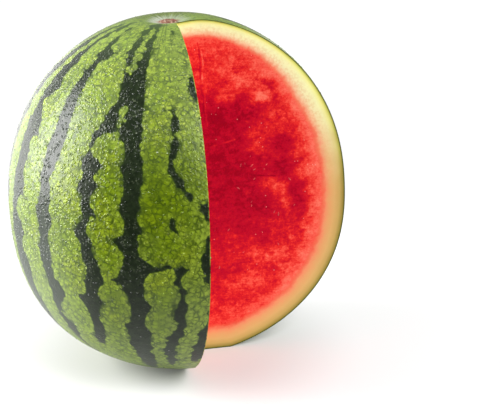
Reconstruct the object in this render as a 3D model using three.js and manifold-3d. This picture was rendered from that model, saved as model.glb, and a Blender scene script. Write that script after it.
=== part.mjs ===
// A round striped watermelon, stood on its lower end, with a quarter cut out of it from top to bottom.
// It grew as one piece, so it is one closed solid: skin, rind and flesh are its colours and not parts.
// Millimetres, +Z up. The origin is the middle of the flat spot that it stands on. The quarter that is
// gone lay towards +X and -Y: one cut face looks along +X and the other along -Y.

import * as THREE from "three";
import { mergeVertices } from "three/addons/utils/BufferGeometryUtils.js";
import Module from "manifold-3d";

// The fruit before it was cut: its widest ring, and how far its two ends lie from that ring.
const WIDEST_RADIUS = 120;
const STEM_END_RISE = 134;
const LOWER_END_DROP = 118.5;
// How full its two halves are: 2 is an ellipse, and more is squarer.
const STEM_END_FULLNESS = 2.16;
const LOWER_END_FULLNESS = 2.31;

// Where it stands: the widest ring's centre above the surface, and its core's lean towards -X.
const CENTRE_HEIGHT = 113.5;
const LEAN = THREE.MathUtils.degToRad(2.5);

// The dimple at the stem end, and the corky button that the vine left in it.
const DIMPLE_RADIUS = 15;
const DIMPLE_DEPTH = 6;
const BUTTON_RADIUS = 5.5;
const BUTTON_RISE = 1.8;

// Shallow lobes that run from end to end, and one broad swelling that makes the ring a little oval.
const LOBES = 11;
const LOBE_HEIGHT = 0.35;
const OVAL_HEIGHT = 0.6;

// The notch: where its upright corner stands, beside the core.
const CORNER_X = -4;
const CORNER_Y = -12.5;

// How finely the surface is divided, and a length past any side of the fruit.
const RINGS_PER_HALF = 18;
const RINGS_IN_DIMPLE = 8;
const SEGMENTS = 84;
const BEYOND = 400;

const SKIN = new THREE.MeshStandardMaterial({ color: 0x6f9a3a, roughness: 0.32, metalness: 0 });

const wasm = await Module();
wasm.setup();

/** A closed three.js geometry as a manifold-3d solid. */
function solidOf(geometry) {
  const bare = geometry.clone();
  bare.deleteAttribute("normal");
  bare.deleteAttribute("uv");
  const merged = mergeVertices(bare, 1e-3);
  return new wasm.Manifold(
    new wasm.Mesh({
      numProp: 3,
      vertProperties: merged.getAttribute("position").array,
      triVerts: new Uint32Array(merged.getIndex().array),
    }),
  );
}

/** A manifold-3d solid as a three.js geometry, with flat faces. */
function geometryOf(solid) {
  const mesh = solid.getMesh();
  const geometry = new THREE.BufferGeometry();
  geometry.setAttribute("position", new THREE.BufferAttribute(mesh.vertProperties, 3));
  geometry.setIndex(new THREE.BufferAttribute(mesh.triVerts, 1));
  const faceted = geometry.toNonIndexed();
  faceted.computeVertexNormals();
  return faceted;
}

/** A box between two corners. */
function boxBetween(low, high) {
  const size = high.clone().sub(low);
  const middle = low.clone().add(high).multiplyScalar(0.5);
  return new THREE.BoxGeometry(size.x, size.y, size.z).translate(middle.x, middle.y, middle.z);
}

/** How high above the widest ring the stem end's surface lies, at a distance from the core. */
function stemEndHeight(radius) {
  const share = radius / WIDEST_RADIUS;
  const dome = STEM_END_RISE * Math.pow(Math.max(0, 1 - share * share), 1 / STEM_END_FULLNESS);
  const dimple = DIMPLE_DEPTH * Math.exp(-Math.pow(radius / DIMPLE_RADIUS, 2));
  const button = BUTTON_RISE * Math.exp(-Math.pow(radius / BUTTON_RADIUS, 4));
  return dome - dimple + button;
}

/** How far below the widest ring the lower end's surface lies, at a distance from the core. */
function lowerEndDepth(radius) {
  const share = radius / WIDEST_RADIUS;
  return LOWER_END_DROP * Math.pow(Math.max(0, 1 - share * share), 1 / LOWER_END_FULLNESS);
}

/** The outline from the lower end to the stem end, as (distance from the core, height) points. */
function outline() {
  const points = [];
  for (let i = 0; i <= RINGS_PER_HALF; i++) {
    const radius = WIDEST_RADIUS * Math.sin((i / RINGS_PER_HALF) * (Math.PI / 2));
    points.push(new THREE.Vector2(radius, -lowerEndDepth(radius)));
  }
  const rim = 2 * DIMPLE_RADIUS;
  const rimTurn = Math.asin(rim / WIDEST_RADIUS);
  for (let i = 1; i <= RINGS_PER_HALF; i++) {
    const turn = THREE.MathUtils.lerp(Math.PI / 2, rimTurn, i / RINGS_PER_HALF);
    const radius = WIDEST_RADIUS * Math.sin(turn);
    points.push(new THREE.Vector2(radius, stemEndHeight(radius)));
  }
  for (let i = 1; i <= RINGS_IN_DIMPLE; i++) {
    const radius = rim * (1 - i / RINGS_IN_DIMPLE);
    points.push(new THREE.Vector2(radius, stemEndHeight(radius)));
  }
  return points;
}

/** Swells the round body into its lobes. They fade out towards both ends. */
function raiseLobes(geometry) {
  const position = geometry.getAttribute("position");
  const point = new THREE.Vector3();
  for (let i = 0; i < position.count; i++) {
    point.fromBufferAttribute(position, i);
    const radius = Math.hypot(point.x, point.y);
    const turn = Math.atan2(point.y, point.x);
    const share = Math.min(1, radius / WIDEST_RADIUS);
    const lobes = LOBE_HEIGHT * Math.cos(LOBES * turn) * share * share;
    const oval = OVAL_HEIGHT * Math.cos(2 * turn) * share;
    const scale = radius > 0 ? (radius + lobes + oval) / radius : 1;
    position.setXY(i, point.x * scale, point.y * scale);
  }
  return geometry;
}

/** The whole fruit, before any cut, standing where it stands. */
function wholeFruit() {
  const body = new THREE.LatheGeometry(outline(), SEGMENTS);
  body.rotateX(Math.PI / 2);
  raiseLobes(body);
  body.rotateY(-LEAN);
  body.translate(0, 0, CENTRE_HEIGHT);
  return body;
}

/** The fruit with its flat spot and with the quarter gone. */
function cutFruit() {
  const aboveSurface = boxBetween(
    new THREE.Vector3(-BEYOND, -BEYOND, 0),
    new THREE.Vector3(BEYOND, BEYOND, BEYOND),
  );
  const quarter = boxBetween(
    new THREE.Vector3(CORNER_X, -BEYOND, -BEYOND),
    new THREE.Vector3(BEYOND, CORNER_Y, BEYOND),
  );
  const standing = solidOf(wholeFruit()).intersect(solidOf(aboveSurface));
  return geometryOf(standing.subtract(solidOf(quarter)));
}

const watermelon = new THREE.Mesh(cutFruit(), SKIN);
watermelon.name = "watermelon";

const group = new THREE.Group();
group.add(watermelon);

export default group;
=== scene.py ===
"""Looks of a round striped watermelon that stands on its lower end, with a quarter cut out of it.

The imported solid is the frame. The fruit is grown again on the same sizes as one closed mesh with
finely divided skin and cut faces, painted with its stripes, and dressed with a waxy wet skin and
moist flesh. Water drops, seed coats and the corky stem scar are pieces of their own on it.
Metres, +Z up; the quarter that is gone lay towards +X and -Y.
"""

import logging
import math
from collections.abc import Callable
from dataclasses import dataclass, fields
from enum import Enum

import bpy
import numpy as np
from mathutils import Matrix, Vector
from mathutils.kdtree import KDTree


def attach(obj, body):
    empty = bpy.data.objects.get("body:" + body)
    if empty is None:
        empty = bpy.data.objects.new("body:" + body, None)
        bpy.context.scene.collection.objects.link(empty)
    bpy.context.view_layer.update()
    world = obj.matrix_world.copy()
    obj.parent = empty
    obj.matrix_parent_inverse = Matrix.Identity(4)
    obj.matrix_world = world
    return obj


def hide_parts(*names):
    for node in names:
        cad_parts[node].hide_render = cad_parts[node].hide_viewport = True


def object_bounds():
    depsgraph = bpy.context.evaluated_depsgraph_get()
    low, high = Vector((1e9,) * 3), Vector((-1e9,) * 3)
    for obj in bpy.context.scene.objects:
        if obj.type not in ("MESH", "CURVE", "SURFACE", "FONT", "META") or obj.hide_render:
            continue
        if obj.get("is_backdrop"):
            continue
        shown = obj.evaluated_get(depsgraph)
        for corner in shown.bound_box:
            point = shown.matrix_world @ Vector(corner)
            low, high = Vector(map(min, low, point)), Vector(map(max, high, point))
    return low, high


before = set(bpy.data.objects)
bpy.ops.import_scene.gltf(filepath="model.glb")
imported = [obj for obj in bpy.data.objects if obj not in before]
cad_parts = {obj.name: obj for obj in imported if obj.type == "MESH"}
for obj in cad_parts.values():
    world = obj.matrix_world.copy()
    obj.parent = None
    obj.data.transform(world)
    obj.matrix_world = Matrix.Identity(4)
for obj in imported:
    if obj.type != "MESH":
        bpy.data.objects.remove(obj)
CAD_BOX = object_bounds()

LOG = logging.getLogger("watermelon")
MM = 0.001
BODY = "root"
NODE = "watermelon"

# A point of a sheet of faces is on the sheet's first edge where its share is less than the one,
# and on its last edge where it is more than the other.
FIRST_EDGE = 0.00001
LAST_EDGE = 0.99999
# What keeps a division by a length from failing where the length is nothing.
TINY = 1e-9
# The distance that points get that are far from everything, in millimetres.
FAR = 99.0
# The Mix node's sockets for each kind of value: its two inputs and its output.
MIX_SOCKETS = {"FLOAT": (2, 3, 0), "VECTOR": (4, 5, 1), "RGBA": (6, 7, 2)}


# Node trees, written as arithmetic


def operator(operation: str, swapped: bool = False) -> Callable[["Wire", "Number"], "Wire"]:
    """A method for one step of arithmetic on a wire and what stands across the sign from it.

    Args:
        operation: the step's name in a node tree.
        swapped: whether the wire stands on the sign's right.

    Returns:
        The method.
    """

    def step(self: "Wire", other: "Number") -> "Wire":
        """The step's result."""
        return self.sheet.math(operation, *((other, self) if swapped else (self, other)))

    return step


class Wire:
    """An output socket of a node tree that takes part in arithmetic.

    A comparison is 1 where it holds, and 0 elsewhere.
    """

    __add__, __radd__ = operator("ADD"), operator("ADD", swapped=True)
    __sub__, __rsub__ = operator("SUBTRACT"), operator("SUBTRACT", swapped=True)
    __mul__, __rmul__ = operator("MULTIPLY"), operator("MULTIPLY", swapped=True)
    __truediv__, __rtruediv__ = operator("DIVIDE"), operator("DIVIDE", swapped=True)
    __pow__ = operator("POWER")
    __gt__, __lt__ = operator("GREATER_THAN"), operator("LESS_THAN")

    def __init__(self, sheet: "NodeSheet", socket: bpy.types.NodeSocket) -> None:
        """Keeps the socket and the sheet that it is on."""
        self.sheet, self.socket = sheet, socket

    def __neg__(self) -> "Wire":
        """This wire with its sign turned."""
        return self.sheet.math("MULTIPLY", self, -1.0)


Number = Wire | float
Colour = tuple[float, float, float]
Span = tuple[float, float]
Noise = tuple[float, float, float]
Layers = tuple[tuple[float, Colour], ...]
Value = Wire | float | tuple[float, ...]


class NodeSheet:
    """A node tree, for a material or for geometry, that is written down as arithmetic."""

    def __init__(self, tree: bpy.types.NodeTree) -> None:
        """Starts on an empty or cleared tree."""
        self.tree = tree

    def add(
        self, kind: str, plugs: dict | None = None, **settings: str | bool
    ) -> bpy.types.Node:
        """Adds a node.

        Args:
            kind: the node's type.
            plugs: what each input gets, by the input's name or number.
            settings: the node's own options.

        Returns:
            The node.
        """
        node = self.tree.nodes.new(kind)
        for name, value in settings.items():
            setattr(node, name, value)
        self.fill(node, plugs or {})
        return node

    def fill(self, node: bpy.types.Node, plugs: dict) -> None:
        """Gives each of a node's inputs, by its name or number, a wire or a plain value.

        Args:
            node: the node.
            plugs: the wires and values, by input.
        """
        for key, value in plugs.items():
            if isinstance(value, Wire):
                self.tree.links.new(value.socket, node.inputs[key])
            else:
                node.inputs[key].default_value = value

    def out(self, node: bpy.types.Node, key: int | str = 0) -> Wire:
        """One of a node's outputs as a wire."""
        return Wire(self, node.outputs[key])

    def made(
        self,
        kind: str,
        plugs: dict | None = None,
        key: int | str = 0,
        **settings: str | bool,
    ) -> Wire:
        """Adds a node and returns one of its outputs."""
        return self.out(self.add(kind, plugs, **settings), key)

    def math(self, operation: str, *values: Number) -> Wire:
        """One step of arithmetic on numbers."""
        return self.made("ShaderNodeMath", dict(enumerate(values)), operation=operation)

    def steps(self, operation: str, *values: Value) -> Wire:
        """One step of arithmetic on vectors.

        Args:
            operation: the step's name.
            values: what it works on.

        Returns:
            The vector.
        """
        key = "Value" if operation == "DISTANCE" else "Vector"
        plugs = dict(enumerate(values))
        if operation == "SCALE":
            plugs = {0: values[0], "Scale": values[1]}
        return self.made("ShaderNodeVectorMath", plugs, key, operation=operation)

    def vector(self, x: Number, y: Number, z: Number) -> Wire:
        """A vector from its three parts."""
        return self.made("ShaderNodeCombineXYZ", {0: x, 1: y, 2: z})

    def parts(self, vector: Wire) -> tuple[Wire, Wire, Wire]:
        """The three parts of a vector."""
        node = self.add("ShaderNodeSeparateXYZ", {0: vector})
        return self.out(node, 0), self.out(node, 1), self.out(node, 2)

    def mix(
        self, kind: str, share: Number, first: Value, second: Value, **settings: str | bool
    ) -> Wire:
        """The value of this kind that lies this share of the way from first to second.

        Args:
            kind: FLOAT, VECTOR or RGBA.
            share: from 0 to 1.
            first: the value at 0.
            second: the value at 1.
            settings: the node's own options.

        Returns:
            The value.
        """
        low, high, result = MIX_SOCKETS[kind]
        plugs = {0: share, low: first, high: second}
        return self.made("ShaderNodeMix", plugs, result, data_type=kind, **settings)

    def between(self, share: Number, first: Number, second: Number) -> Wire:
        """The number that lies this share of the way from first to second."""
        return self.mix("FLOAT", share, first, second, clamp_factor=False)

    def between_points(self, share: Number, first: Wire, second: Wire) -> Wire:
        """The point that lies this share of the way from first to second."""
        return self.mix("VECTOR", share, first, second, clamp_factor=False)

    def blend(self, share: Number, first: Value, second: Value, kind: str = "MIX") -> Wire:
        """The colour this share of the way from first to second, or their blend of that kind."""
        return self.mix("RGBA", share, self.colour(first), self.colour(second), blend_type=kind)

    def colour(self, value: Value) -> Value:
        """A wire as it is, or a colour with its alpha added."""
        return value if isinstance(value, Wire) else (*value, 1.0)

    def rise(self, value: Number, low: Number, high: Number) -> Wire:
        """0 up to low, 1 from high, and a smooth slope between them."""
        plugs = {"Value": value, "From Min": low, "From Max": high}
        return self.made("ShaderNodeMapRange", plugs, interpolation_type="SMOOTHSTEP")

    def fall(self, value: Number, low: Number, high: Number) -> Wire:
        """1 up to low, 0 from high, and a smooth slope between them."""
        return 1.0 - self.rise(value, low, high)

    def from_least(self, mask: Wire, least: float) -> Wire:
        """1 where the mask is 1, and down to least where it is 0."""
        return least + (1.0 - least) * mask

    def spared(self, mask: Wire, share: float) -> Wire:
        """1 where the mask is 0, and less by this share where it is 1."""
        return 1.0 - share * mask

    def place(self) -> Wire:
        """The place on the object, on a material's tree."""
        return self.made("ShaderNodeTexCoord", key="Object")

    def kept(self, name: str) -> Wire:
        """The number that the mesh keeps under this name, on a material's tree."""
        return self.made("ShaderNodeAttribute", key="Fac", attribute_name=name)

    def bump(self, strength: float, depth: float, height: Wire) -> Wire:
        """The normals of a surface that this height dents, with depth in metres."""
        plugs = {"Strength": strength, "Distance": depth, "Height": height}
        return self.made("ShaderNodeBump", plugs)

    def noise(self, place: Wire, size: float, detail: float = 2.0, rough: float = 0.5) -> Wire:
        """Even noise of about 0 to 1, with features of this size in metres."""
        plugs = {"Vector": place, "Scale": 1.0 / size, "Detail": detail, "Roughness": rough}
        return self.made("ShaderNodeTexNoise", plugs, "Fac" if self.shades else 0)

    def swirl(self, place: Wire, size: float, reach: float) -> Wire:
        """The place, moved by up to about reach by noise of this size.

        Args:
            place: the place.
            size: the noise's size, in millimetres.
            reach: how far it moves, in millimetres.

        Returns:
            The moved place.
        """
        plugs = {"Vector": place, "Scale": 1.0 / size, "Detail": 1.0}
        away = self.made("ShaderNodeTexNoise", plugs, "Color" if self.shades else 1)
        away = self.steps("SUBTRACT", away, (0.5, 0.5, 0.5))
        return self.steps("ADD", place, self.steps("SCALE", away, 2.0 * reach))

    def cells(self, place: Wire, size: float, feature: str = "F1") -> Wire:
        """Distance within a pattern of uneven cells of this size, as a share of the size."""
        plugs = {"Vector": place, "Scale": 1.0 / size}
        return self.made("ShaderNodeTexVoronoi", plugs, "Distance", feature=feature)

    def ramp(self, share: Number, stops: Layers) -> Wire:
        """A colour that runs through the stops, each a place from 0 to 1 and its colour.

        Args:
            share: where on the ramp, from 0 to 1.
            stops: the ramp's colours.

        Returns:
            The colour.
        """
        node = self.add("ShaderNodeValToRGB", {0: share})
        for index, (place, colour) in enumerate(stops):
            if index < 2:
                stop = node.color_ramp.elements[index]
                stop.position = place
            else:
                stop = node.color_ramp.elements.new(place)
            stop.color = (*colour, 1.0)
        return self.out(node, 0)

    @property
    def shades(self) -> bool:
        """True on a material's tree, and False on a geometry tree."""
        return self.tree.bl_idname == "ShaderNodeTree"


class GeometrySheet(NodeSheet):
    """A geometry tree with named inputs, which grows one mesh."""

    def __init__(self, name: str, sizes: dict[str, float | int], takes_mesh: bool = False) -> None:
        """Makes the tree and its inputs.

        Args:
            name: the tree's name.
            sizes: each input's name and value. A whole number makes a whole-number input.
            takes_mesh: whether the tree reads the mesh of the object that it is on.
        """
        super().__init__(bpy.data.node_groups.new(name, "GeometryNodeTree"))
        self.values: dict[str, float | int] = {}
        face = self.tree.interface
        if takes_mesh:
            face.new_socket(name="Mesh", in_out="INPUT", socket_type="NodeSocketGeometry")
        for label, value in sizes.items():
            kind = "NodeSocketInt" if isinstance(value, int) else "NodeSocketFloat"
            item = face.new_socket(name=label, in_out="INPUT", socket_type=kind)
            self.values[item.identifier] = value
        face.new_socket(name="Mesh", in_out="OUTPUT", socket_type="NodeSocketGeometry")
        self.given = self.add("NodeGroupInput")
        self.result = self.add("NodeGroupOutput")

    def __getitem__(self, label: str) -> Wire:
        """The input of this name."""
        return self.out(self.given, label)

    def place(self) -> Wire:
        """The position of each point."""
        return self.made("GeometryNodeInputPosition")

    def move(self, mesh: Wire, place: Wire) -> Wire:
        """The mesh with its points put at place."""
        return self.made("GeometryNodeSetPosition", {"Geometry": mesh, "Position": place})

    def store(self, mesh: Wire, name: str, value: Number) -> Wire:
        """The mesh with a number for each point, kept under a name.

        Args:
            mesh: the mesh.
            name: the name to keep it under.
            value: the number.

        Returns:
            The mesh.
        """
        plugs = {"Geometry": mesh, "Name": name, "Value": value}
        return self.made(
            "GeometryNodeStoreNamedAttribute", plugs, data_type="FLOAT", domain="POINT"
        )

    def chance(self, low: float, high: float, seed: int) -> Wire:
        """A number drawn at random between low and high for each point."""
        plugs = {2: low, 3: high, "Seed": seed}
        return self.made("FunctionNodeRandomValue", plugs, 1, data_type="FLOAT")

    def dressed(self, mesh: Wire, material: bpy.types.Material) -> Wire:
        """The mesh with a material on all its faces."""
        return self.made("GeometryNodeSetMaterial", {"Geometry": mesh, "Material": material})

    def smooth(self, mesh: Wire) -> Wire:
        """The mesh shaded smooth."""
        return self.made("GeometryNodeSetShadeSmooth", {"Geometry": mesh, "Shade Smooth": True})

    def flipped(self, mesh: Wire) -> Wire:
        """The mesh with its faces turned over."""
        return self.made("GeometryNodeFlipFaces", {"Mesh": mesh})

    def together(self, *meshes: Wire) -> Wire:
        """Several meshes as one."""
        node = self.add("GeometryNodeJoinGeometry")
        for mesh in meshes:
            self.tree.links.new(mesh.socket, node.inputs[0])
        return self.out(node)

    def grow(self, name: str, mesh: Wire, base: bpy.types.Mesh | None = None) -> bpy.types.Object:
        """Evaluates the tree once and keeps its result as a plain mesh.

        Args:
            name: the piece's name.
            mesh: the tree's result.
            base: the mesh that the tree reads, where it reads one.

        Returns:
            The piece, at the origin, with no modifier on it.
        """
        self.fill(self.result, {0: mesh})
        plant = placed(name + "_plant", base or bpy.data.meshes.new(name + "_base"))
        modifier = plant.modifiers.new("Grow", "NODES")
        modifier.node_group = self.tree
        for identifier, value in self.values.items():
            modifier[identifier] = value
        graph = bpy.context.evaluated_depsgraph_get()
        grown = bpy.data.meshes.new_from_object(
            plant.evaluated_get(graph), preserve_all_data_layers=True, depsgraph=graph
        )
        plant.modifiers.remove(modifier)
        bpy.data.objects.remove(plant)
        grown.name = name
        tidy_slots(grown)
        return placed(name, grown)


def placed(name: str, data: bpy.types.ID) -> bpy.types.Object:
    """A new object in the scene, which holds this mesh, lamp or camera."""
    thing = bpy.data.objects.new(name, data)
    bpy.context.scene.collection.objects.link(thing)
    return thing


class Labelled:
    """A set of sizes that a geometry tree can take as its inputs."""

    def labelled(self) -> dict[str, float | int]:
        """Each size under a plain label."""
        return {f.name.replace("_", " ").title(): getattr(self, f.name) for f in fields(self)}


def places_of(mesh: bpy.types.Mesh) -> np.ndarray:
    """The places of a mesh's points, one to a row."""
    places = np.empty(len(mesh.vertices) * 3, np.float32)
    mesh.vertices.foreach_get("co", places)
    return places.reshape(-1, 3).astype(float)


def keep(mesh: bpy.types.Mesh, name: str, values: np.ndarray) -> None:
    """Keeps a number for each point on a mesh, under a name."""
    kept = mesh.attributes.new(name, "FLOAT", "POINT")
    kept.data.foreach_set("value", values.astype(np.float32))


# The fruit's shape


class CutFace(Enum):
    """The two faces of the notch, by where each one looks."""

    FRONT = 0.0  # it looks along -Y, and meets the skin where the ring's remaining part begins
    SIDE = 1.0  # it looks along +X, and meets the skin where the ring's remaining part ends


@dataclass(frozen=True)
class FruitSizes(Labelled):
    """What sets the fruit's outer shape and the notch in it, in metres, as the frame has it."""

    # The angles among which the notch's corner is looked for: the first, the last and how many.
    corner_search = (0.02, 0.3, 20001)

    widest_radius: float = 0.120
    stem_end_rise: float = 0.134
    lower_end_drop: float = 0.1185
    stem_end_fullness: float = 2.16
    lower_end_fullness: float = 2.31
    centre_height: float = 0.1135
    lean: float = math.radians(2.5)
    dimple_radius: float = 0.015
    dimple_depth: float = 0.006
    button_radius: float = 0.0055
    button_rise: float = 0.0018
    lobes: float = 11.0
    lobe_height: float = 0.00035
    oval_height: float = 0.0006
    corner_x: float = -0.004
    corner_y: float = -0.0125
    foot_radius: float = 0.037

    def ring(self, polar: np.ndarray) -> tuple[np.ndarray, np.ndarray]:
        """The radius of the ring at each angle from the stem end, and its rise."""
        near = np.abs(np.cos(polar))
        radius = self.widest_radius * np.sin(polar)
        upper = self.stem_end_rise * near ** (2 / self.stem_end_fullness)
        upper -= self.dimple_depth * np.exp(-((radius / self.dimple_radius) ** 2))
        upper += self.button_rise * np.exp(-((radius / self.button_radius) ** 4))
        lower = -self.lower_end_drop * near ** (2 / self.lower_end_fullness)
        return radius, np.where(polar < math.pi / 2, upper, lower)

    def corner(self) -> tuple[float, float]:
        """The angle of the ring that passes through the notch's corner, and the corner's height."""
        polar = np.linspace(*self.corner_search)
        radius, rise = self.ring(polar)
        across = (self.corner_x + rise * math.sin(self.lean)) / math.cos(self.lean)
        index = int(np.argmax(radius > np.hypot(across, self.corner_y)))
        height = across[index] * math.sin(self.lean) + rise[index] * math.cos(self.lean)
        return float(polar[index]), float(height + self.centre_height)

    def unturned(self, points: np.ndarray) -> np.ndarray:
        """Points of the standing fruit, in the upright fruit's own axes."""
        low, high = math.sin(self.lean), math.cos(self.lean)
        x, z = points[:, 0], points[:, 2] - self.centre_height
        return np.stack([x * high + z * low, points[:, 1], z * high - x * low], 1)

    def turned(self, points: np.ndarray) -> np.ndarray:
        """Points in the upright fruit's own axes, put where they are on the standing fruit."""
        low, high = math.sin(self.lean), math.cos(self.lean)
        x, z = points[:, 0], points[:, 2]
        rise = x * low + z * high + self.centre_height
        return np.stack([x * high - z * low, points[:, 1], rise], 1)


@dataclass(frozen=True)
class Fineness(Labelled):
    """How finely the fruit's mesh is divided."""

    round_skin: int = 282
    down_skin: int = 184
    down_dimple: int = 8
    across_cut: int = 94


class FruitShape(GeometrySheet):
    """The geometry tree of the whole cut fruit: its skin, its two cut faces and its foot.

    Attributes:
        flesh_relief: how far the cut flesh stands in or out, in metres.
        flesh_lumps: the size of its lumps, in metres, with their detail and roughness.
        flesh_stretch: how much longer the lumps are along each axis, as a share of their places.
        edge_fade: how near a cut face's edges the relief fades, as a product of two shares.
        weld: how near to each other points are made one, in metres.
        sharp: the angle from which an edge stays sharp.
        foot_steps: how often the skin's meeting with the ground is reckoned closer.
    """

    flesh_relief = 0.00045
    flesh_lumps = (0.012, 3.0, 0.6)
    flesh_stretch = (0.5, 0.5, 1.0)
    edge_fade = 0.03
    weld = 0.00003
    sharp = math.radians(35.0)
    foot_steps = 3

    def __init__(self, sizes: FruitSizes, fineness: Fineness) -> None:
        """Makes the tree's inputs from the sizes and the counts.

        Args:
            sizes: the fruit's sizes.
            fineness: how finely its faces are divided.
        """
        polar, height = sizes.corner()
        extra = {"Corner Polar": polar, "Corner Height": height}
        extra["Flesh Relief"] = self.flesh_relief
        super().__init__("CutFruit", {**sizes.labelled(), **extra, **fineness.labelled()})
        self.sin_lean = self.math("SINE", self["Lean"])
        self.cos_lean = self.math("COSINE", self["Lean"])

    def ring(self, polar: Wire) -> tuple[Wire, Wire]:
        """The radius and the rise of the ring at this angle from the stem end."""
        near = self.math("ABSOLUTE", self.math("COSINE", polar))
        radius = self["Widest Radius"] * self.math("SINE", polar)
        dimple = self.math("EXPONENT", -((radius / self["Dimple Radius"]) ** 2.0))
        button = self.math("EXPONENT", -((radius / self["Button Radius"]) ** 4.0))
        upper = self["Stem End Rise"] * near ** (2.0 / self["Stem End Fullness"])
        upper = upper - self["Dimple Depth"] * dimple + self["Button Rise"] * button
        lower = -(self["Lower End Drop"] * near ** (2.0 / self["Lower End Fullness"]))
        return radius, self.between(polar > math.pi / 2, upper, lower)

    def swell(self, radius: Wire, turn: Wire) -> Wire:
        """How far the lobes and the oval push a ring out at this turn.

        Args:
            radius: the ring's radius.
            turn: the angle round the fruit.

        Returns:
            The change of radius.
        """
        share = radius / self["Widest Radius"]
        lobes = self.math("COSINE", self["Lobes"] * turn) * self["Lobe Height"]
        oval = self.math("COSINE", turn * 2.0) * self["Oval Height"]
        return (lobes * share + oval) * share

    def turns(self, radius: Wire, rise: Wire) -> tuple[Wire, Wire]:
        """The turns at which the rest of a ring begins and ends, on the notch's two faces.

        Args:
            radius: the ring's radius.
            rise: its height.

        Returns:
            The first and the last turn.
        """
        edge = (self["Corner X"] + rise * self.sin_lean) / self.cos_lean
        first = self.math("ARCSINE", self["Corner Y"] / radius)
        last = self.math("ARCCOSINE", edge / radius)
        first = self.math("ARCSINE", self["Corner Y"] / (radius + self.swell(radius, first)))
        last = self.math("ARCCOSINE", edge / (radius + self.swell(radius, last)))
        return first, 2.0 * math.pi - last

    def stand(self, radius: Wire, rise: Wire, turn: Wire) -> tuple[Wire, Wire, Wire]:
        """Where a point of the upright fruit is once the fruit leans and stands on its foot.

        Args:
            radius: the ring's radius.
            rise: its height.
            turn: the angle round it.

        Returns:
            The place.
        """
        out = radius + self.swell(radius, turn)
        x, y = out * self.math("COSINE", turn), out * self.math("SINE", turn)
        height = x * self.sin_lean + rise * self.cos_lean + self["Centre Height"]
        return x * self.cos_lean - rise * self.sin_lean, y, self.math("MAXIMUM", height, 0.0)

    def floor_polar(self, across: Number) -> Wire:
        """The angle at which the skin meets the surface that the fruit stands on."""
        radius = self["Foot Radius"]
        first, last = self.turns(radius, -self["Centre Height"])
        turn = self.between(across, first, last)
        for _ in range(self.foot_steps):
            x = radius * self.math("COSINE", turn)
            rise = -((self["Centre Height"] + x * self.sin_lean) / self.cos_lean)
            near = (-rise / self["Lower End Drop"]) ** (self["Lower End Fullness"] / 2.0)
            polar = math.pi - self.math("ARCCOSINE", near)
            radius = self["Widest Radius"] * self.math("SINE", polar)
        return polar

    def skin_place(self, across: Number, down: Wire) -> Wire:
        """Where a point of the skin is.

        Args:
            across: how far round the rest of its ring it is, from one cut face to the other.
            down: how far down it is, from the notch's corner to the foot.

        Returns:
            Its place.
        """
        polar = self.between(down, self["Corner Polar"], self.floor_polar(across))
        radius, rise = self.ring(polar)
        first, last = self.turns(radius, rise)
        x, y, z = self.stand(radius, rise, self.between(across, first, last))
        across = across if isinstance(across, Wire) else across + down * 0.0
        on_side, on_front = across > LAST_EDGE, across < FIRST_EDGE
        x = self.between(on_side, x, self["Corner X"])
        y = self.between(on_front, y, self["Corner Y"])
        labels = ("Corner X", "Corner Y", "Corner Height")
        corner = self.vector(*(self[label] for label in labels))
        at_corner = (down < FIRST_EDGE) * (on_side + on_front)
        z = z * (down < LAST_EDGE)
        return self.between_points(at_corner, self.vector(x, y, z), corner)

    def grid(self, columns: Wire, rows: Wire) -> tuple[Wire, Wire, Wire]:
        """A sheet of faces, and how far across and down it each point is, from 0 to 1.

        Args:
            columns: points across.
            rows: points down.

        Returns:
            The sheet, and the two shares.
        """
        plugs = {"Vertices X": columns + 1.0, "Vertices Y": rows + 1.0}
        mesh = self.made("GeometryNodeMeshGrid", plugs, "Mesh")
        x, y, _ = self.parts(self.place())
        return mesh, x + 0.5, y + 0.5

    def skin(self, material: bpy.types.Material) -> Wire:
        """The skin from the notch's corner down to the foot."""
        mesh, across, down = self.grid(self["Round Skin"], self["Down Skin"])
        mesh = self.move(mesh, self.skin_place(across, down))
        return self.dressed(self.flipped(mesh), material)

    def cap(self, material: bpy.types.Material) -> Wire:
        """The whole rings of skin in the dimple, inside the notch's corner."""
        mesh, across, down = self.grid(self["Round Skin"], self["Down Dimple"])
        outer, outer_rise = self.ring(self["Corner Polar"])
        first, last = self.turns(outer, outer_rise)
        radius, rise = self.ring(down * self["Corner Polar"])
        x, y, z = self.stand(radius, rise, self.between(across, first, last))
        mesh = self.move(mesh, self.vector(x, y, z))
        return self.dressed(self.flipped(mesh), material)

    def cut_face(self, side: CutFace, skin: Wire, material: bpy.types.Material) -> Wire:
        """One face of the notch, which keeps each point's depth under the skin in millimetres.

        Args:
            side: which face it is.
            skin: the fruit's skin, which the depth is measured from.
            material: what dresses the face.

        Returns:
            The face.
        """
        mesh, across, down = self.grid(self["Across Cut"], self["Down Skin"])
        edge = self.skin_place(side.value, down)
        height = self["Corner Height"] * (1.0 - down)
        inner = self.vector(self["Corner X"], self["Corner Y"], height)
        place = self.between_points(across, edge, inner)
        fade = self.rise(across * (1.0 - across), 0.0, self.edge_fade)
        fade = fade * self.rise(down * (1.0 - down), 0.0, self.edge_fade)
        uneven = self.noise(self.steps("MULTIPLY", place, self.flesh_stretch), *self.flesh_lumps)
        lift = (uneven - 0.5) * fade * 2.0 * self["Flesh Relief"]
        out = (1.0, 0.0, 0.0) if side is CutFace.SIDE else (0.0, -1.0, 0.0)
        lift = self.steps("SCALE", self.vector(*out), lift)
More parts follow.
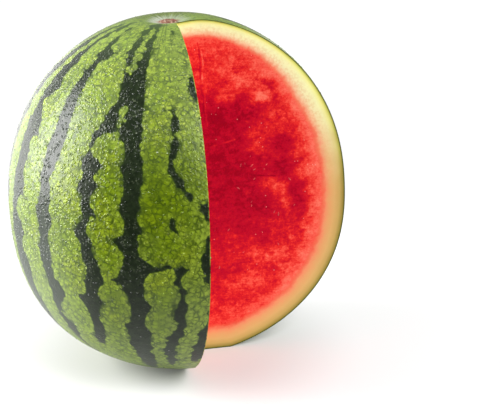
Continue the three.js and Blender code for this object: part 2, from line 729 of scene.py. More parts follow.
        # One move alone, because a second one would read the places that the first one left.
        mesh = self.move(mesh, self.steps("ADD", place, lift))
        near = self.add("GeometryNodeProximity", {"Geometry": skin}, target_element="FACES")
        _, _, above = self.parts(self.place())
        depth = self.math("MINIMUM", self.out(near, "Distance"), above)
        mesh = self.store(mesh, "rind_depth", depth / MM)
        if side is CutFace.SIDE:
            mesh = self.flipped(mesh)
        return self.dressed(mesh, material)

    def whole(self, skin: bpy.types.Material, flesh: bpy.types.Material) -> Wire:
        """The fruit as one closed mesh: skin, dimple, cut faces and the filled foot.

        Args:
            skin: what dresses the skin.
            flesh: what dresses the cut.

        Returns:
            The mesh.
        """
        rind = self.skin(skin)
        faces = [self.cut_face(side, rind, flesh) for side in CutFace]
        upper = self.welded(self.together(rind, self.cap(skin), *faces))
        neighbours = self.made("GeometryNodeInputMeshEdgeNeighbors")
        rim = self.made("GeometryNodeMeshToCurve", {"Mesh": upper, "Selection": neighbours < 1.5})
        foot = self.made("GeometryNodeFillCurve", {"Curve": rim})
        foot = self.dressed(self.flipped(foot), skin)
        return self.smoothed(self.welded(self.together(upper, foot)))

    def welded(self, mesh: Wire) -> Wire:
        """The mesh with the points that lie on each other made one."""
        return self.made("GeometryNodeMergeByDistance", {"Geometry": mesh, "Distance": self.weld})

    def smoothed(self, mesh: Wire) -> Wire:
        """The mesh shaded smooth, with its sharp corners kept."""
        sharp = self.made("GeometryNodeInputMeshEdgeAngle") > self.sharp
        plugs = {"Geometry": self.smooth(mesh), "Selection": sharp, "Shade Smooth": False}
        return self.made("GeometryNodeSetShadeSmooth", plugs, domain="EDGE")


# The stripes


def off_line(
    px: np.ndarray, py: np.ndarray, ex: np.ndarray, ey: np.ndarray | float
) -> tuple[np.ndarray, np.ndarray]:
    """How far points are from a line, and how far along it each one is.

    Args:
        px, py: the points, from the line's start.
        ex, ey: the line's end, from its start.

    Returns:
        The distances, and the shares of the line from 0 to 1.
    """
    along = np.clip((px * ex + py * ey) / np.maximum(ex * ex + ey * ey, TINY), 0.0, 1.0)
    return np.hypot(px - along * ex, py - along * ey), along


def from_heading(turn: np.ndarray, heading: float) -> np.ndarray:
    """Headings in degrees, counted from another one, the shorter way round."""
    return (turn - heading + 180.0) % 360.0 - 180.0


@dataclass(frozen=True)
class Growth:
    """How a stripe that is drawn at random grows. Lengths are in millimetres, widths in degrees.

    Attributes:
        taper, blunt: the length over which an end narrows, and the share of its width it keeps.
        wander, memory: how far it wanders at a station, and the share of that it keeps.
        cusp, waist: how much wider it is at a cusp and between two cusps.
        uneven, thinnest: its half width as a share of the usual one, and its least.
        cusp_length, waist_length: how far on the next station lies.
    """

    taper: float = 30.0
    blunt: float = 0.25
    memory: float = 0.75
    wander: float = 0.45
    cusp: Span = (0.5, 1.5)
    waist: Span = (-0.7, 0.1)
    uneven: Span = (0.85, 1.1)
    thinnest: float = 0.4
    cusp_length: Span = (5.0, 9.0)
    waist_length: Span = (8.0, 17.0)


@dataclass(frozen=True)
class Stripe:
    """The outline of one dark stripe, or of one piece of a broken one, on the skin laid flat.

    Each station is how far down from the stem end it lies, in millimetres along the skin, and where
    the stripe's left and right edges are there, in degrees round the fruit.
    """

    # How far from its widest edge a stripe can still matter, in degrees.
    margin = 14.0

    stations: tuple[tuple[float, float, float], ...]

    @classmethod
    def grown(
        cls, middle: float, half_width: float, start: float, end: float, seed: int
    ) -> "Stripe":
        """A stripe of the same growth as the others, with its bulges and cusps drawn at random.

        Args:
            middle: its heading, in degrees round the fruit.
            half_width: half its usual width, in degrees.
            start: where it begins, in millimetres down from the stem end.
            end: where it ends.
            seed: what sets its random bulges.

        Returns:
            The stripe.
        """
        chance, grows = np.random.default_rng(seed), Growth()
        stations, down, wander, cusp = [], start, 0.0, False
        while down < end:
            to_end = min(down - start, end - down)
            ends = min(1.0, to_end / grows.taper + grows.blunt)
            wander = grows.memory * wander + chance.normal(0.0, grows.wander)
            reach = chance.uniform(*(grows.cusp if cusp else grows.waist), 2)
            half = half_width * chance.uniform(*grows.uneven)
            left, right = np.maximum(half + reach, grows.thinnest) * ends
            stations.append((down, middle + wander - left, middle + wander + right))
            down += chance.uniform(*(grows.cusp_length if cusp else grows.waist_length))
            cusp = not cusp
        return cls(tuple(stations))

    def rounded(self, more: int = 4) -> np.ndarray:
        """The stations with more of them between each two, on a smooth curve through them."""
        rows = np.array(self.stations, float)
        slope = np.gradient(rows[:, 1:], rows[:, 0], axis=0)
        found = [rows[:1]]
        for index in range(len(rows) - 1):
            first, last = rows[index], rows[index + 1]
            step = last[0] - first[0]
            t = np.arange(1, more + 1)[:, None] / more
            sides = (2 * t**3 - 3 * t**2 + 1) * first[1:] + (3 * t**2 - 2 * t**3) * last[1:]
            sides += step * (t**3 - 2 * t**2 + t) * slope[index]
            sides += step * (t**3 - t**2) * slope[index + 1]
            found.append(np.hstack([first[0] + t * step, sides]))
        return np.vstack(found)

    def distance(self, down: np.ndarray, turn: np.ndarray, radius: np.ndarray) -> np.ndarray:
        """How far each point is outside the outline, in millimetres, and negative inside it.

        Args:
            down: each point's way down from the stem end, in millimetres.
            turn: its heading, in degrees.
            radius: its ring's radius, in millimetres.

        Returns:
            The distances. Points far from the stripe get a large one.
        """
        station = self.rounded()
        middle = station[:, 1:].mean()
        turn = from_heading(turn, middle)
        station[:, 1:] -= middle
        found = np.full(len(down), FAR)
        near = np.abs(turn) < np.abs(station[:, 1:]).max() + self.margin
        down, turn, scale = down[near], turn[near], np.radians(1.0) * radius[near]
        left = np.interp(down, station[:, 0], station[:, 1])
        right = np.interp(down, station[:, 0], station[:, 2])
        inside = (turn > left) & (turn < right)
        inside &= (down > station[0, 0]) & (down < station[-1, 0])
        outline = np.concatenate([station[:, [0, 1]], station[::-1][:, [0, 2]]])
        gap = np.full(len(down), FAR)
        for (y0, x0), (y1, x1) in zip(outline, np.roll(outline, -1, 0)):
            side = off_line((turn - x0) * scale, down - y0, (x1 - x0) * scale, y1 - y0)
            gap = np.minimum(gap, side[0])
        found[near] = np.where(inside, -gap, gap)
        return found


@dataclass(frozen=True)
class Spur:
    """A thin dark line that runs off a stripe into the light skin."""

    # How much of its width it has lost at its end.
    taper = 0.8

    start: tuple[float, float]
    end: tuple[float, float]
    half_width: float = 1.25

    def distance(self, down: np.ndarray, turn: np.ndarray, radius: np.ndarray) -> np.ndarray:
        """How far each point is outside the spur, in millimetres, as for a stripe.

        Args:
            down: each point's way down from the stem end, in millimetres.
            turn: its heading, in degrees.
            radius: its ring's radius, in millimetres.

        Returns:
            The distances.
        """
        scale = np.radians(1.0) * radius
        px, py = from_heading(turn, self.start[1]) * scale, down - self.start[0]
        ex, ey = (self.end[1] - self.start[1]) * scale, self.end[0] - self.start[0]
        away, along = off_line(px, py, ex, ey)
        return away - self.half_width * (1.0 - self.taper * along)


@dataclass(frozen=True)
class Lobes:
    """The rounded cells of light skin, whose arcs scallop the stripes' plain outlines.

    Attributes:
        apart: how far apart the cells' middles are, in millimetres.
        widest: the widest that a cell reaches.
        overlap: how far a cell laps over the plain outline.
        deepest: how far a dark cusp between two cells may run out of the outline.
        clear: how far outside the plain outlines a cell's middle has to be.
        tried: how many of the nearest cells are tried at each point.
        seed: what picks the middles.
    """

    apart: float = 7.5
    widest: float = 9.0
    overlap: float = 0.35
    deepest: float = 2.2
    clear: float = 0.8
    tried: int = 7
    seed: int = 11

    def scallop(self, points: np.ndarray, gap: np.ndarray) -> tuple[np.ndarray, np.ndarray]:
        """Turns plain gaps to scalloped ones.

        Args:
            points: the places on the skin, in millimetres.
            gap: each one's distance outside the plain outlines.

        Returns:
            The distance outside the scalloped outlines, and the distance to the seam between the
            two nearest cells.
        """
        order = np.random.default_rng(self.seed).permutation(len(points))
        boxes = np.floor(points[order] / self.apart).astype(int)
        chosen = order[np.unique(boxes, axis=0, return_index=True)[1]]
        chosen = chosen[gap[chosen] > self.clear]
        reach = np.minimum(gap[chosen] + self.overlap, self.widest)
        tree = KDTree(len(chosen))
        for index, point in enumerate(points[chosen]):
            tree.insert(point, index)
        tree.balance()
        best = np.empty((len(points), 2))
        for row, point in enumerate(points):
            near = [reach[index] - away for _, index, away in tree.find_n(point, self.tried)]
            best[row] = sorted(near, reverse=True)[:2]
        return np.maximum(best[:, 0], gap - self.deepest), best[:, 0] - best[:, 1]


class StripePattern:
    """All the stripes round the fruit, from the near side's first to its last and then the rest."""

    first = Stripe((
        (24, -170.5, -169.5), (42, -171.4, -169), (60, -172, -167.5), (74, -172, -165),
        (88, -174, -164), (100, -172, -163), (104, -172, -167), (115, -171.5, -163),
        (128, -171, -160.5), (134, -171, -163), (148, -170, -162), (156, -170, -164.5),
        (170, -170.5, -161.5), (176, -170.5, -166), (188, -171, -165), (195, -172, -161),
        (205, -171, -163.5), (220, -170, -159.8), (232, -169, -160.5), (250, -167, -159.5),
        (300, -165, -161),
    ))  # fmt: skip
    second = Stripe((
        (30, -153.4, -152.6), (47, -153.2, -151.6), (55, -153, -147), (61, -151.5, -140.5),
        (67, -150.5, -144.5), (80, -151, -145.3), (98, -151.5, -144.8), (110, -151, -143.8),
        (128, -150.5, -143.5), (140, -151.5, -144.5), (155, -151.5, -147), (165, -151.3, -146),
        (178, -152.6, -146), (184, -152, -144.8), (190, -151.2, -146.8), (204, -152, -146.2),
        (220, -150.6, -146.5), (232, -149.6, -142.5), (240, -150, -145.5), (248, -150.5, -149),
        (262, -150, -145), (275, -150, -147), (300, -150, -147.5),
    ))  # fmt: skip
    third_head = Stripe((
        (20, -128, -127), (33, -128.7, -126), (48, -130, -125.8), (60, -128.8, -125.5),
        (75, -126, -125), (84, -124.8, -122),
    ))  # fmt: skip
    third_bridge = Stripe((
        (78, -125, -123.8), (84, -125, -119), (92, -124.6, -119), (98, -124.8, -119.5),
        (102, -126.4, -123.8), (108, -128, -123.6), (114, -128.8, -123.2), (117, -129.8, -119.5),
        (120, -131.2, -129.2),
    ))  # fmt: skip
    third = Stripe((
        (116, -129.5, -124), (120, -131.5, -128.9), (127, -131.9, -130.2), (133, -132.4, -130.6),
        (138, -134.2, -129), (140, -134, -127.5), (146, -132.2, -128.8), (154, -134.6, -127.2),
        (163, -132.5, -129.6), (170, -132.6, -129), (175, -132, -129.4), (180, -134.4, -130.4),
        (185, -135.4, -130.6), (190, -133.4, -130), (200, -133.2, -128), (208, -131.5, -126.8),
        (218, -133, -127.2), (226, -133.2, -128.6), (233, -135, -127.7), (243, -134.2, -130.2),
        (256, -134.5, -129.8), (266, -136.3, -131.5), (276, -137, -134),
    ))  # fmt: skip
    fourth = Stripe((
        (14, -115.8, -114.4), (45, -116.8, -113.2), (60, -118, -112.7), (72, -119.5, -113.4),
        (82, -120.6, -113), (97, -119.5, -112.2), (110, -119.1, -112.5), (118, -121, -112.3),
        (126, -119, -112.7), (147, -118.6, -111.5), (157, -118.2, -112.7), (168, -119.7, -113),
        (174, -118.2, -114.2), (179, -118, -112), (184, -118.2, -113.6), (190, -120.2, -113.4),
        (200, -118, -114.2), (206, -118.3, -110), (213, -121, -112), (222, -119.3, -113.6),
        (235, -118.4, -112), (246, -119.4, -114), (254, -121.3, -114.2), (262, -121.3, -113.4),
        (280, -121.8, -115.3), (300, -122.5, -117.2), (318, -123, -118),
    ))  # fmt: skip
    fifth_upper = Stripe((
        (103, -101.8, -100.7), (108, -101.2, -99), (112, -101.1, -98), (117, -101.7, -100.4),
        (123, -101.5, -99.6), (127, -102.1, -98.8), (131, -102.6, -100.2), (140, -103.5, -101.6),
        (147, -102.4, -99.4), (155, -99.9, -98), (159, -97.8, -96.6),
    ))  # fmt: skip
    fifth_fleck = Stripe(((172, -103.6, -103), (178, -103.8, -102), (182, -102.5, -101)))
    fifth_lower = Stripe((
        (209, -102.4, -101.8), (215, -103.2, -101.2), (221, -102, -100.8), (230, -102.4, -100.4),
        (240, -104.6, -101), (250, -103.2, -100.4), (258, -106, -102.4), (272, -108.6, -105),
        (290, -109.5, -106.5), (305, -110, -108),
    ))  # fmt: skip
    sixth_head = Stripe(((34, -97, -94.5), (38, -97, -95)))
    sixth_upper = Stripe(((80, -91.4, -88), (86, -92.8, -88), (95, -92.6, -88), (99, -91, -88)))
    sixth_fleck = Stripe(((166, -92.6, -88), (171, -93.5, -88), (175, -92.6, -88)))
    sixth_lower = Stripe((
        (186, -92.6, -86), (195, -93.5, -86), (212, -93.7, -86), (222, -92.8, -86),
        (245, -92.8, -86), (254, -94.6, -86), (268, -97.2, -90), (280, -99, -93), (296, -100, -97),
    ))  # fmt: skip
    spurs = (
        Spur((190, -120), (186, -123.6)), Spur((206, -110), (204, -105.0), 1.6),
        Spur((213, -120.6), (213.5, -122.6)), Spur((171, -129), (173.5, -126.8)),
        Spur((139, -128), (140.5, -125.8)), Spur((231, -134.6), (232.5, -137)),
        Spur((129, -161), (129, -157.5)), Spur((171, -162.5), (172, -159.6)),
        Spur((61, -141.5), (60, -139.2)), Spur((209, -101.9), (205.5, -98.8), 1.0),
        Spur((158, -97.2), (164, -95.0), 1.0),
    )  # fmt: skip
    # The stripes that the far side holds: heading, half width, beginning and end.
    far_side = (
        (4, 3.4, 30, 318), (21, 2, 46, 150), (20, 2.2, 168, 300), (38, 3.8, 26, 320),
        (55, 2.4, 52, 306), (72, 3.3, 30, 320), (90, 1.8, 70, 168), (91, 2.6, 190, 312),
        (106, 3.9, 24, 320), (124, 2.3, 44, 300), (141, 3.5, 28, 318), (158, 2, 60, 210),
        (157, 2.6, 226, 306), (175, 3.2, 32, 318),
    )  # fmt: skip
    far_seed = 40
    # The far side's spurs: their seed, how far down they run in millimetres, and how far out in
    # degrees.
    spur_seed = 7
    spur_drop = (-5.0, 5.0)
    spur_reach = (1.0, 3.4)
    # The angles from the stem end at which the way down is reckoned: the first, the last, how many.
    reckoned = (0.001, 2.95, 4000)
    # The greatest distance from a stripe that is kept, in millimetres.
    furthest = 40.0

    def shapes(self) -> list[Stripe | Spur]:
        """Every stripe and spur."""
        near = [s for s in vars(type(self)).values() if isinstance(s, Stripe)]
        seeds = range(self.far_seed, self.far_seed + len(self.far_side))
        far = [Stripe.grown(*row, seed=seed) for row, seed in zip(self.far_side, seeds)]
        chance = np.random.default_rng(self.spur_seed)
        spurs = list(self.spurs)
        for stripe in far:
            for down, left, right in stripe.stations[1::2]:
                side, out = (left, -1.0) if chance.random() < 0.5 else (right, 1.0)
                end = down + chance.uniform(*self.spur_drop)
                away = (end, side + out * chance.uniform(*self.spur_reach))
                spurs.append(Spur((down, side), away))
        return near + far + spurs

    def paint(self, mesh: bpy.types.Mesh, sizes: FruitSizes) -> None:
        """Keeps each point's distances to the nearest stripe, lobe seam and stem, in millimetres.

        Args:
            mesh: the fruit's mesh.
            sizes: the sizes that it was grown on.
        """
        own = sizes.unturned(places_of(mesh)) / MM
        radius = np.hypot(own[:, 0], own[:, 1])
        turn = np.degrees(np.arctan2(own[:, 1], own[:, 0]))
        rings, rises = sizes.ring(np.linspace(*self.reckoned))
        length = np.hypot(np.diff(rings), np.diff(rises)).cumsum() / MM
        slant = np.arctan2(rings, rises)[1:]
        down = np.interp(np.arctan2(radius, own[:, 2]), slant, length)
        gap = np.full(len(own), self.furthest)
        for shape in self.shapes():
            gap = np.minimum(gap, shape.distance(down, turn, radius))
        gap, seam = Lobes().scallop(own, gap)
        for name, values in (("stripe_gap", gap), ("lobe_seam", seam), ("stem_gap", down)):
            keep(mesh, name, values)


class FleshPattern:
    """Where the cut faces are salmon and where they are crimson, in broad patches.

    Each patch on the front face has its middle, in millimetres across and up, its half width and
    half height, and how much paler it is, or how much deeper where that is negative. Those on the
    side face are drawn at random.

    Attributes:
        side_count, side_seed: how many there are on the side face, and what sets them.
        side_half, side_squat, side_across, side_up: their sizes and places.
        side_tones, side_strength: how much deeper or paler they are, and the share of that.
        slack: how far from the front face's plane its points may lie, in millimetres.
        plain: the tone outside every patch.
        strength: how strongly a patch changes the tone.
        reach, crisp: where a patch ends, as a share of its half width, and how sharply.
    """

    core = (8.0, 116.0, 79.0, 78.0, -1.15)
    front_patches = (
        (29, 206, 10, 8, 0.1), (42, 203, 9, 6, 0.45), (31, 189, 8, 4, 0.8), (57, 189, 9, 4.5, 0.95),
        (56, 153, 12, 6.5, 0.7), (81, 146, 7, 2.5, 0.55), (62, 126, 6, 4, 0.85),
        (70, 120, 6, 5, 0.85), (76, 111, 5, 6, 0.75), (52, 162, 10, 3.5, 0.55),
        (88, 133, 8, 7, 0.6), (30, 138, 24, 30, -0.25), (71, 154, 11, 7, -0.75),
        (75, 138, 12, 9, -0.6), (83, 119, 7, 10, -0.7), (85, 105, 6, 9, -0.5),
        (45, 182, 12, 10, -0.75), (22, 180, 13, 11, -0.7), (34, 166, 20, 10, -0.25),
        (65, 197, 5, 4, -0.65), (71, 188, 8, 3.5, -0.55), (56, 110, 13, 9, -0.35),
        (40, 209, 4, 4, -0.35), (30, 78, 22, 12, 0.45), (62, 70, 14, 8, 0.75), (44, 52, 18, 7, 0.6),
    )  # fmt: skip
    side_count, side_seed = 34, 23
    side_half, side_squat = (5.0, 13.0), (0.4, 0.8)
    side_across, side_up = (-98.0, -14.0), (30.0, 215.0)
    side_tones, side_strength = (-0.6, 0.85), (0.6, 1.3)
    slack = 1.2
    plain, strength = 0.28, 0.8
    reach, crisp = 0.92, 6.0

    def paint(self, mesh: bpy.types.Mesh, sizes: FruitSizes) -> None:
        """Keeps each point's tone on the mesh.

        Args:
            mesh: the fruit's mesh.
            sizes: the sizes that it was grown on.
        """
        x, y, z = (places_of(mesh) / MM).T
        front = np.abs(y - sizes.corner_y / MM) < self.slack
        front_tone = self.tone(x, z, (self.core, *self.front_patches))
        keep(mesh, "flesh_tone", np.where(front, front_tone, self.tone(y, z, self.side_patches())))

    def side_patches(self) -> tuple[tuple[float, ...], ...]:
        """The side face's patches, as the front face has them."""
        chance = np.random.default_rng(self.side_seed)
        patches = [(-self.core[0], *self.core[1:])]
        for _ in range(self.side_count):
            half = chance.uniform(*self.side_half)
            tone = chance.choice(self.side_tones) * chance.uniform(*self.side_strength)
            middle = (chance.uniform(*self.side_across), chance.uniform(*self.side_up))
            patches.append((*middle, half, half * chance.uniform(*self.side_squat), tone))
        return tuple(patches)

    def tone(
        self, across: np.ndarray, up: np.ndarray, patches: tuple[tuple[float, ...], ...]
    ) -> np.ndarray:
        """The patches' tones added up at each point.

        Args:
            across: how far out each point is.
            up: how high it is.
            patches: the patches.

        Returns:
            The tones.
        """
        total = np.full(len(across), self.plain)
        for x, z, width, height, change in patches:
            away = np.hypot((across - x) / width, (up - z) / height)
            total += change * self.strength / (1.0 + np.exp((away - self.reach) * self.crisp))
        return total


# Finishes


@dataclass(frozen=True)
class StemSpans:
    """How far down from the stem each effect on the skin begins and ends, in millimetres."""

    cork: Span = (5.0, 9.5)
    dry: Span = (9.0, 17.0)
    smooth: Span = (18.0, 62.0)
    head: Span = (20.0, 78.0)
    wet: Span = (25.0, 75.0)
    matt: Span = (30.0, 80.0)
    ragged: Span = (35.0, 85.0)
    hairs: Span = (40.0, 95.0)


@dataclass(frozen=True)
class SkinPlaces:
    """Where on the fruit each effect on the skin begins and ends, in metres.

    Attributes:
        wet, slant: the heights at which beads of water begin, which slant towards -X by slant.
        flank_out, flank_up: the lower part of the left side, which is painted paler as a sheen.
        deep, deep_away: the middle of the darker, richer green painted as shade, and the way from
            it.
        shoulder_back, shoulder_up: the far shoulder, which has a painted grey sheen.
        sheen_top, sheen_low, sheen_foot: the heights of the two belts of painted whitish sheen.
        scar, underside: the underside's scar, and the height above which there is none.
        dry_right: where the dry skin round the stem grows thinner, towards +X.
        lip, lit: the pale line along the notch's upright edge, and the painted sheen beside it.
        stem_x: how far the stem stands towards -X, because the fruit leans.
    """

    wet: Span = (0.075, 0.150)
    slant: Span = (0.85, 0.45)
    flank_out: Span = (0.070, 0.110)
    flank_up: Span = (0.105, 0.155)
    deep: tuple[float, float, float] = (-0.0340, -0.1080, 0.1600)
    deep_away: Span = (0.014, 0.044)
    shoulder_back: Span = (-0.004, 0.030)
    shoulder_up: Span = (0.195, 0.232)
    sheen_top: Span = (0.15, 0.22)
    sheen_low: Span = (0.070, 0.115)
    sheen_foot: Span = (0.015, 0.050)
    scar: Span = (0.005, 0.009)
    underside: float = 0.02
    dry_right: Span = (-0.014, 0.002)
    lip: Span = (0.0, 0.0008)
    lit: Span = (0.0, 0.026)
    stem_x: float = 0.0057


@dataclass(frozen=True)
class SkinGrain:
    """The sizes of the patterns in the skin, in metres.

    A noise has its size, its detail and its roughness, a swirl how wide and how far it bends what
    it bends, and cells how wide they are. The rays are drawn on a sphere of the radius ray_ball,
    which is stretched along the axis.
    """

    patches: Noise = (0.0045, 2.0, 0.6)
    drift: Noise = (0.030, 2.0, 0.5)
    wet: Noise = (0.035, 2.0, 0.5)
    gloss: Noise = (0.008, 2.0, 0.5)
    rays: Noise = (0.0011, 3.0, 0.65)
    ragged: Noise = (0.0013, 2.0, 0.5)
    cracks: Noise = (0.010, 1.0, 0.5)
    broken: Noise = (0.0055, 2.0, 0.6)
    fine: Noise = (0.0014, 2.0, 0.6)
    pores: Noise = (0.0016, 2.0, 0.6)
    dark: Noise = (0.004, 3.0, 0.65)
    fleck_swirl: Span = (0.004, 0.0006)
    bead_swirl: Span = (0.002, 0.0007)
    edge_swirl: Span = (0.004, 0.0007)
    net_swirl: Span = (0.005, 0.0010)
    seam_swirl: Span = (0.008, 0.0016)
    fleck_cell: float = 0.0021
    bead_cell: float = 0.0019
    edge_cell: float = 0.0036
    net_cell: float = 0.0036
    seam_cell: float = 0.0078
    ray_ball: float = 0.03
    ray_stretch: float = 1.5


@dataclass(frozen=True)
class SkinLevels:
    """The levels of a noise, of cells or of a distance between which each pattern shows.

    Those of ink, green, rim, crack and near_crack are distances from a stripe's edge or from a seam
    between two lobes, in millimetres.
    """

    ink: Span = (-0.40, 0.35)
    green: Span = (-1.3, 0.1)
    rim: Span = (0.8, 5.5)
    crack: Span = (0.2, 0.21)
    near_crack: Span = (0.3, 5.0)
    cracks: Span = (0.42, 0.60)
    flecks: Span = (0.18, 0.42)
    fleck_patches: Span = (0.44, 0.60)
    lip: Span = (0.40, 0.60)
    beads: Span = (0.05, 0.62)
    bead_patches: Span = (0.36, 0.60)
    lime: Span = (0.48, 0.68)
    olive: Span = (0.30, 0.48)
    veins: Span = (0.02, 0.22)
    broken: Span = (0.40, 0.66)
    seams: Span = (0.0, 0.09)
    seam_patches: Span = (0.40, 0.60)
    crowns: Span = (0.15, 0.75)
    fine: Span = (0.50, 0.72)
    hairs: Span = (0.52, 0.66)
    mottle: Span = (0.4, 0.7)


@dataclass(frozen=True)
class SkinFinish:
    """The waxy, wet, striped skin: colours, painted sheen, shade and glints, flecks, veins and
    bumps.

    Attributes:
        dark: the stripes' usual colour, and dark_mottle their lighter patches.
        edge: the stripes' colour just inside their edges.
        head: the stripes' greener colour near the stem.
        light: the fields' usual colour, and lime and olive what it drifts to.
        pale: the fields' colour beside a stripe, also used for two painted sheens.
        vein: the fine dark net in the fields.
        bloom: the whitish sheen painted on the upper part, on a low belt and on the lower left
            side.
        deep: the fields' darker, richer green in one broad patch, which is painted shade.
        shade: the smooth darker skin near the stem.
        wax: the grey sheen painted on the far shoulder.
        dry: the pale dry skin that rays out from the stem.
        fleck, dark_fleck: specks on fields and stripes, partly painted glints.
        cork: the dry skin round the stem and in the middle of the underside.
        gloss: the waxy skin's own roughness, and matt what the dry skin near the stem adds to it.
        shine: how strongly the waxy skin reflects.
        water: how much wet film lies over the waxy skin, and film how rough it is.
        bump: how strong the surface's dents are, and their depth in metres.
        brighter: how much lighter a drop's colour is painted, as the light it gathers.
        near, at, grain, level: where the effects are, and their patterns' sizes and levels.
    """

    dark: Colour = (0.0075, 0.0135, 0.0045)
    dark_mottle: Colour = (0.0150, 0.0250, 0.0085)
    edge: Colour = (0.0380, 0.0700, 0.0060)
    head: Colour = (0.0400, 0.0720, 0.0150)
    light: Colour = (0.1950, 0.2880, 0.0044)
    lime: Colour = (0.2560, 0.3380, 0.0056)
    olive: Colour = (0.1560, 0.2310, 0.0110)
    pale: Colour = (0.2800, 0.3740, 0.0410)
    vein: Colour = (0.0340, 0.0630, 0.0022)
    bloom: Colour = (0.4500, 0.4800, 0.4500)
    deep: Colour = (0.1320, 0.2000, 0.0009)
    shade: Colour = (0.0850, 0.1450, 0.0200)
    wax: Colour = (0.0780, 0.0880, 0.0420)
    dry: Colour = (0.4300, 0.4500, 0.3900)
    fleck: Colour = (0.4200, 0.5000, 0.0700)
    dark_fleck: Colour = (0.1700, 0.2000, 0.1200)
    cork: Colour = (0.2300, 0.1150, 0.0600)
    gloss: float = 0.36
    matt: float = 0.42
    shine: float = 0.22
    water: float = 0.03
    film: float = 0.1
    bump: Span = (0.70, 0.0006)
    brighter: float = 1.0
    near: StemSpans = StemSpans()
    at: SkinPlaces = SkinPlaces()
    grain: SkinGrain = SkinGrain()
    level: SkinLevels = SkinLevels()

    def material(self, name: str = "striped_skin") -> bpy.types.Material:
        """The material, which reads the stripe distances kept on the mesh.

        Args:
            name: the material's name.

        Returns:
            The material.
        """
        grain, level = self.grain, self.level
        material, sheet, shader = plain_material(name)
        place, stem = sheet.place(), sheet.kept("stem_gap")
        edge, ink = self.ink(sheet, place, sheet.kept("stripe_gap"), sheet.kept("lobe_seam"), stem)
        wet = self.wetness(sheet)
        wet = wet * sheet.from_least(sheet.rise(stem, *self.near.wet), 0.3)
        wet = wet * sheet.spared(self.richness(sheet), 0.5)
        # Pale flecks where the skin is wet: partly its own specks, partly painted glints of water.
        flecks_and_glints = sheet.cells(sheet.swirl(place, *grain.fleck_swirl), grain.fleck_cell)
        shown = sheet.noise(place, *grain.patches)
        flecks_and_glints = sheet.fall(flecks_and_glints, *level.flecks) * sheet.rise(shown, *level.fleck_patches) * wet
        field = self.field(sheet, place, edge, stem, flecks_and_glints)
        stripe = self.stripe(sheet, place, edge, stem, flecks_and_glints)
        colour = sheet.blend(ink, field, stripe)
        # A whitish sheen painted over the lower left side, on fields and stripes alike.
        colour = sheet.blend(self.flank(sheet) * 0.13, colour, self.bloom)
        colour = self.ends(sheet, stem, shown, colour)
        # A drop's colour is painted lighter than the skin under it, as the light that it gathers.
        if self.brighter > 1.0:
            colour = sheet.blend(1.0, colour, (self.brighter,) * 3, "MULTIPLY")
        rough = self.gloss + (sheet.noise(place, *grain.gloss) - 0.5) * 0.14
        beads = sheet.cells(sheet.swirl(place, *grain.bead_swirl), grain.bead_cell)
        beads = sheet.fall(beads, *level.beads) * sheet.rise(shown, *level.bead_patches)
        height = sheet.noise(place, *grain.pores) * 0.25 + beads * wet
        plugs = {"Base Color": colour, "Normal": sheet.bump(*self.bump, height)}
        plugs["Roughness"] = rough + sheet.fall(stem, *self.near.matt) * self.matt
        plugs |= {"Specular IOR Level": self.shine, "Coat Weight": self.water}
        sheet.fill(shader, plugs | {"Coat Roughness": self.film})
        return material

    def ends(self, sheet: NodeSheet, stem: Wire, shown: Wire, colour: Wire) -> Wire:
        """The dry skin at the fruit's two ends, and the line of rind along the notch's edge.

        Args:
            sheet: the material's tree.
            stem: the way down from the stem end.
            shown: the noise that makes the pattern patchy.
            colour: the colour under them.

        Returns:
            The colour with them on it.
        """
        near, at = self.near, self.at
        x, y, z = sheet.parts(sheet.place())
        under = (x * x + y * y) ** 0.5 + shown * 0.004
        scar = sheet.fall(under, *at.scar) * (z < at.underside)
        ring = stem + (self.rays(sheet) - 0.5) * 26.0
        dry = 0.75 - 0.35 * sheet.rise(x, *at.dry_right)
        colour = sheet.blend(sheet.fall(ring, *near.dry) * dry, colour, self.dry)
        collar = sheet.fall(stem + (shown - 0.5) * 6.0, *near.cork)
        corky = sheet.math("MAXIMUM", scar, collar * 0.9)
        colour = sheet.blend(corky, colour, self.cork)
        # The thin pale line of rind that shows along the notch's upright edge.
        lip = sheet.fall(FruitSizes.corner_x - x, *at.lip)
        lip = lip * (y < FruitSizes.corner_y) * (x < 0.0)
        lip = lip * sheet.rise(shown, *self.level.lip) * 0.6
        return sheet.blend(lip, colour, self.fleck)

    def rays(self, sheet: NodeSheet) -> Wire:
        """Fine noise that keeps its value along each line that runs down from the stem."""
        x, y, z = sheet.parts(sheet.place())
        across = x + self.at.stem_x
        away = (across * across + y * y) ** 0.5 + 0.0001
        way = sheet.vector(across / away, y / away, z * self.grain.ray_stretch)
        return sheet.noise(sheet.steps("SCALE", way, self.grain.ray_ball), *self.grain.rays)

    def ink(
        self, sheet: NodeSheet, place: Wire, gap: Wire, seam: Wire, stem: Wire
    ) -> tuple[Wire, Wire]:
        """Where the dark stripes are.

        Args:
            sheet: the material's tree.
            place: the place on the skin.
            gap: the distance to the nearest stripe's scalloped outline, in millimetres.
            seam: the distance to the nearest seam between two lobes of light skin.
            stem: the way down from the stem end.

        Returns:
            The distance to the stripe's ragged edge, negative inside, and 1 on the stripes.
        """
        grain, level = self.grain, self.level
        small = sheet.cells(sheet.swirl(place, *grain.edge_swirl), grain.edge_cell)
        ragged = sheet.noise(place, *grain.ragged)
        edge = gap + (0.40 - small) * 0.9 + (0.5 - ragged)
        rays = (self.rays(sheet) - 0.5) * 3.0
        edge = edge + rays * sheet.fall(stem, *self.near.ragged)
        ink = sheet.fall(edge, *level.ink)
        # Between two lobes, a thin dark crack runs out into the field.
        near = sheet.fall(gap, *level.near_crack)
        shown = sheet.rise(sheet.noise(place, *grain.cracks), *level.cracks)
        bent = seam + (ragged - 0.5) * 1.4
        least, most = level.crack
        cracks = sheet.fall(bent, least, 1.1 * near + most) * near * shown
        return edge, sheet.math("MAXIMUM", ink, cracks * 0.9)

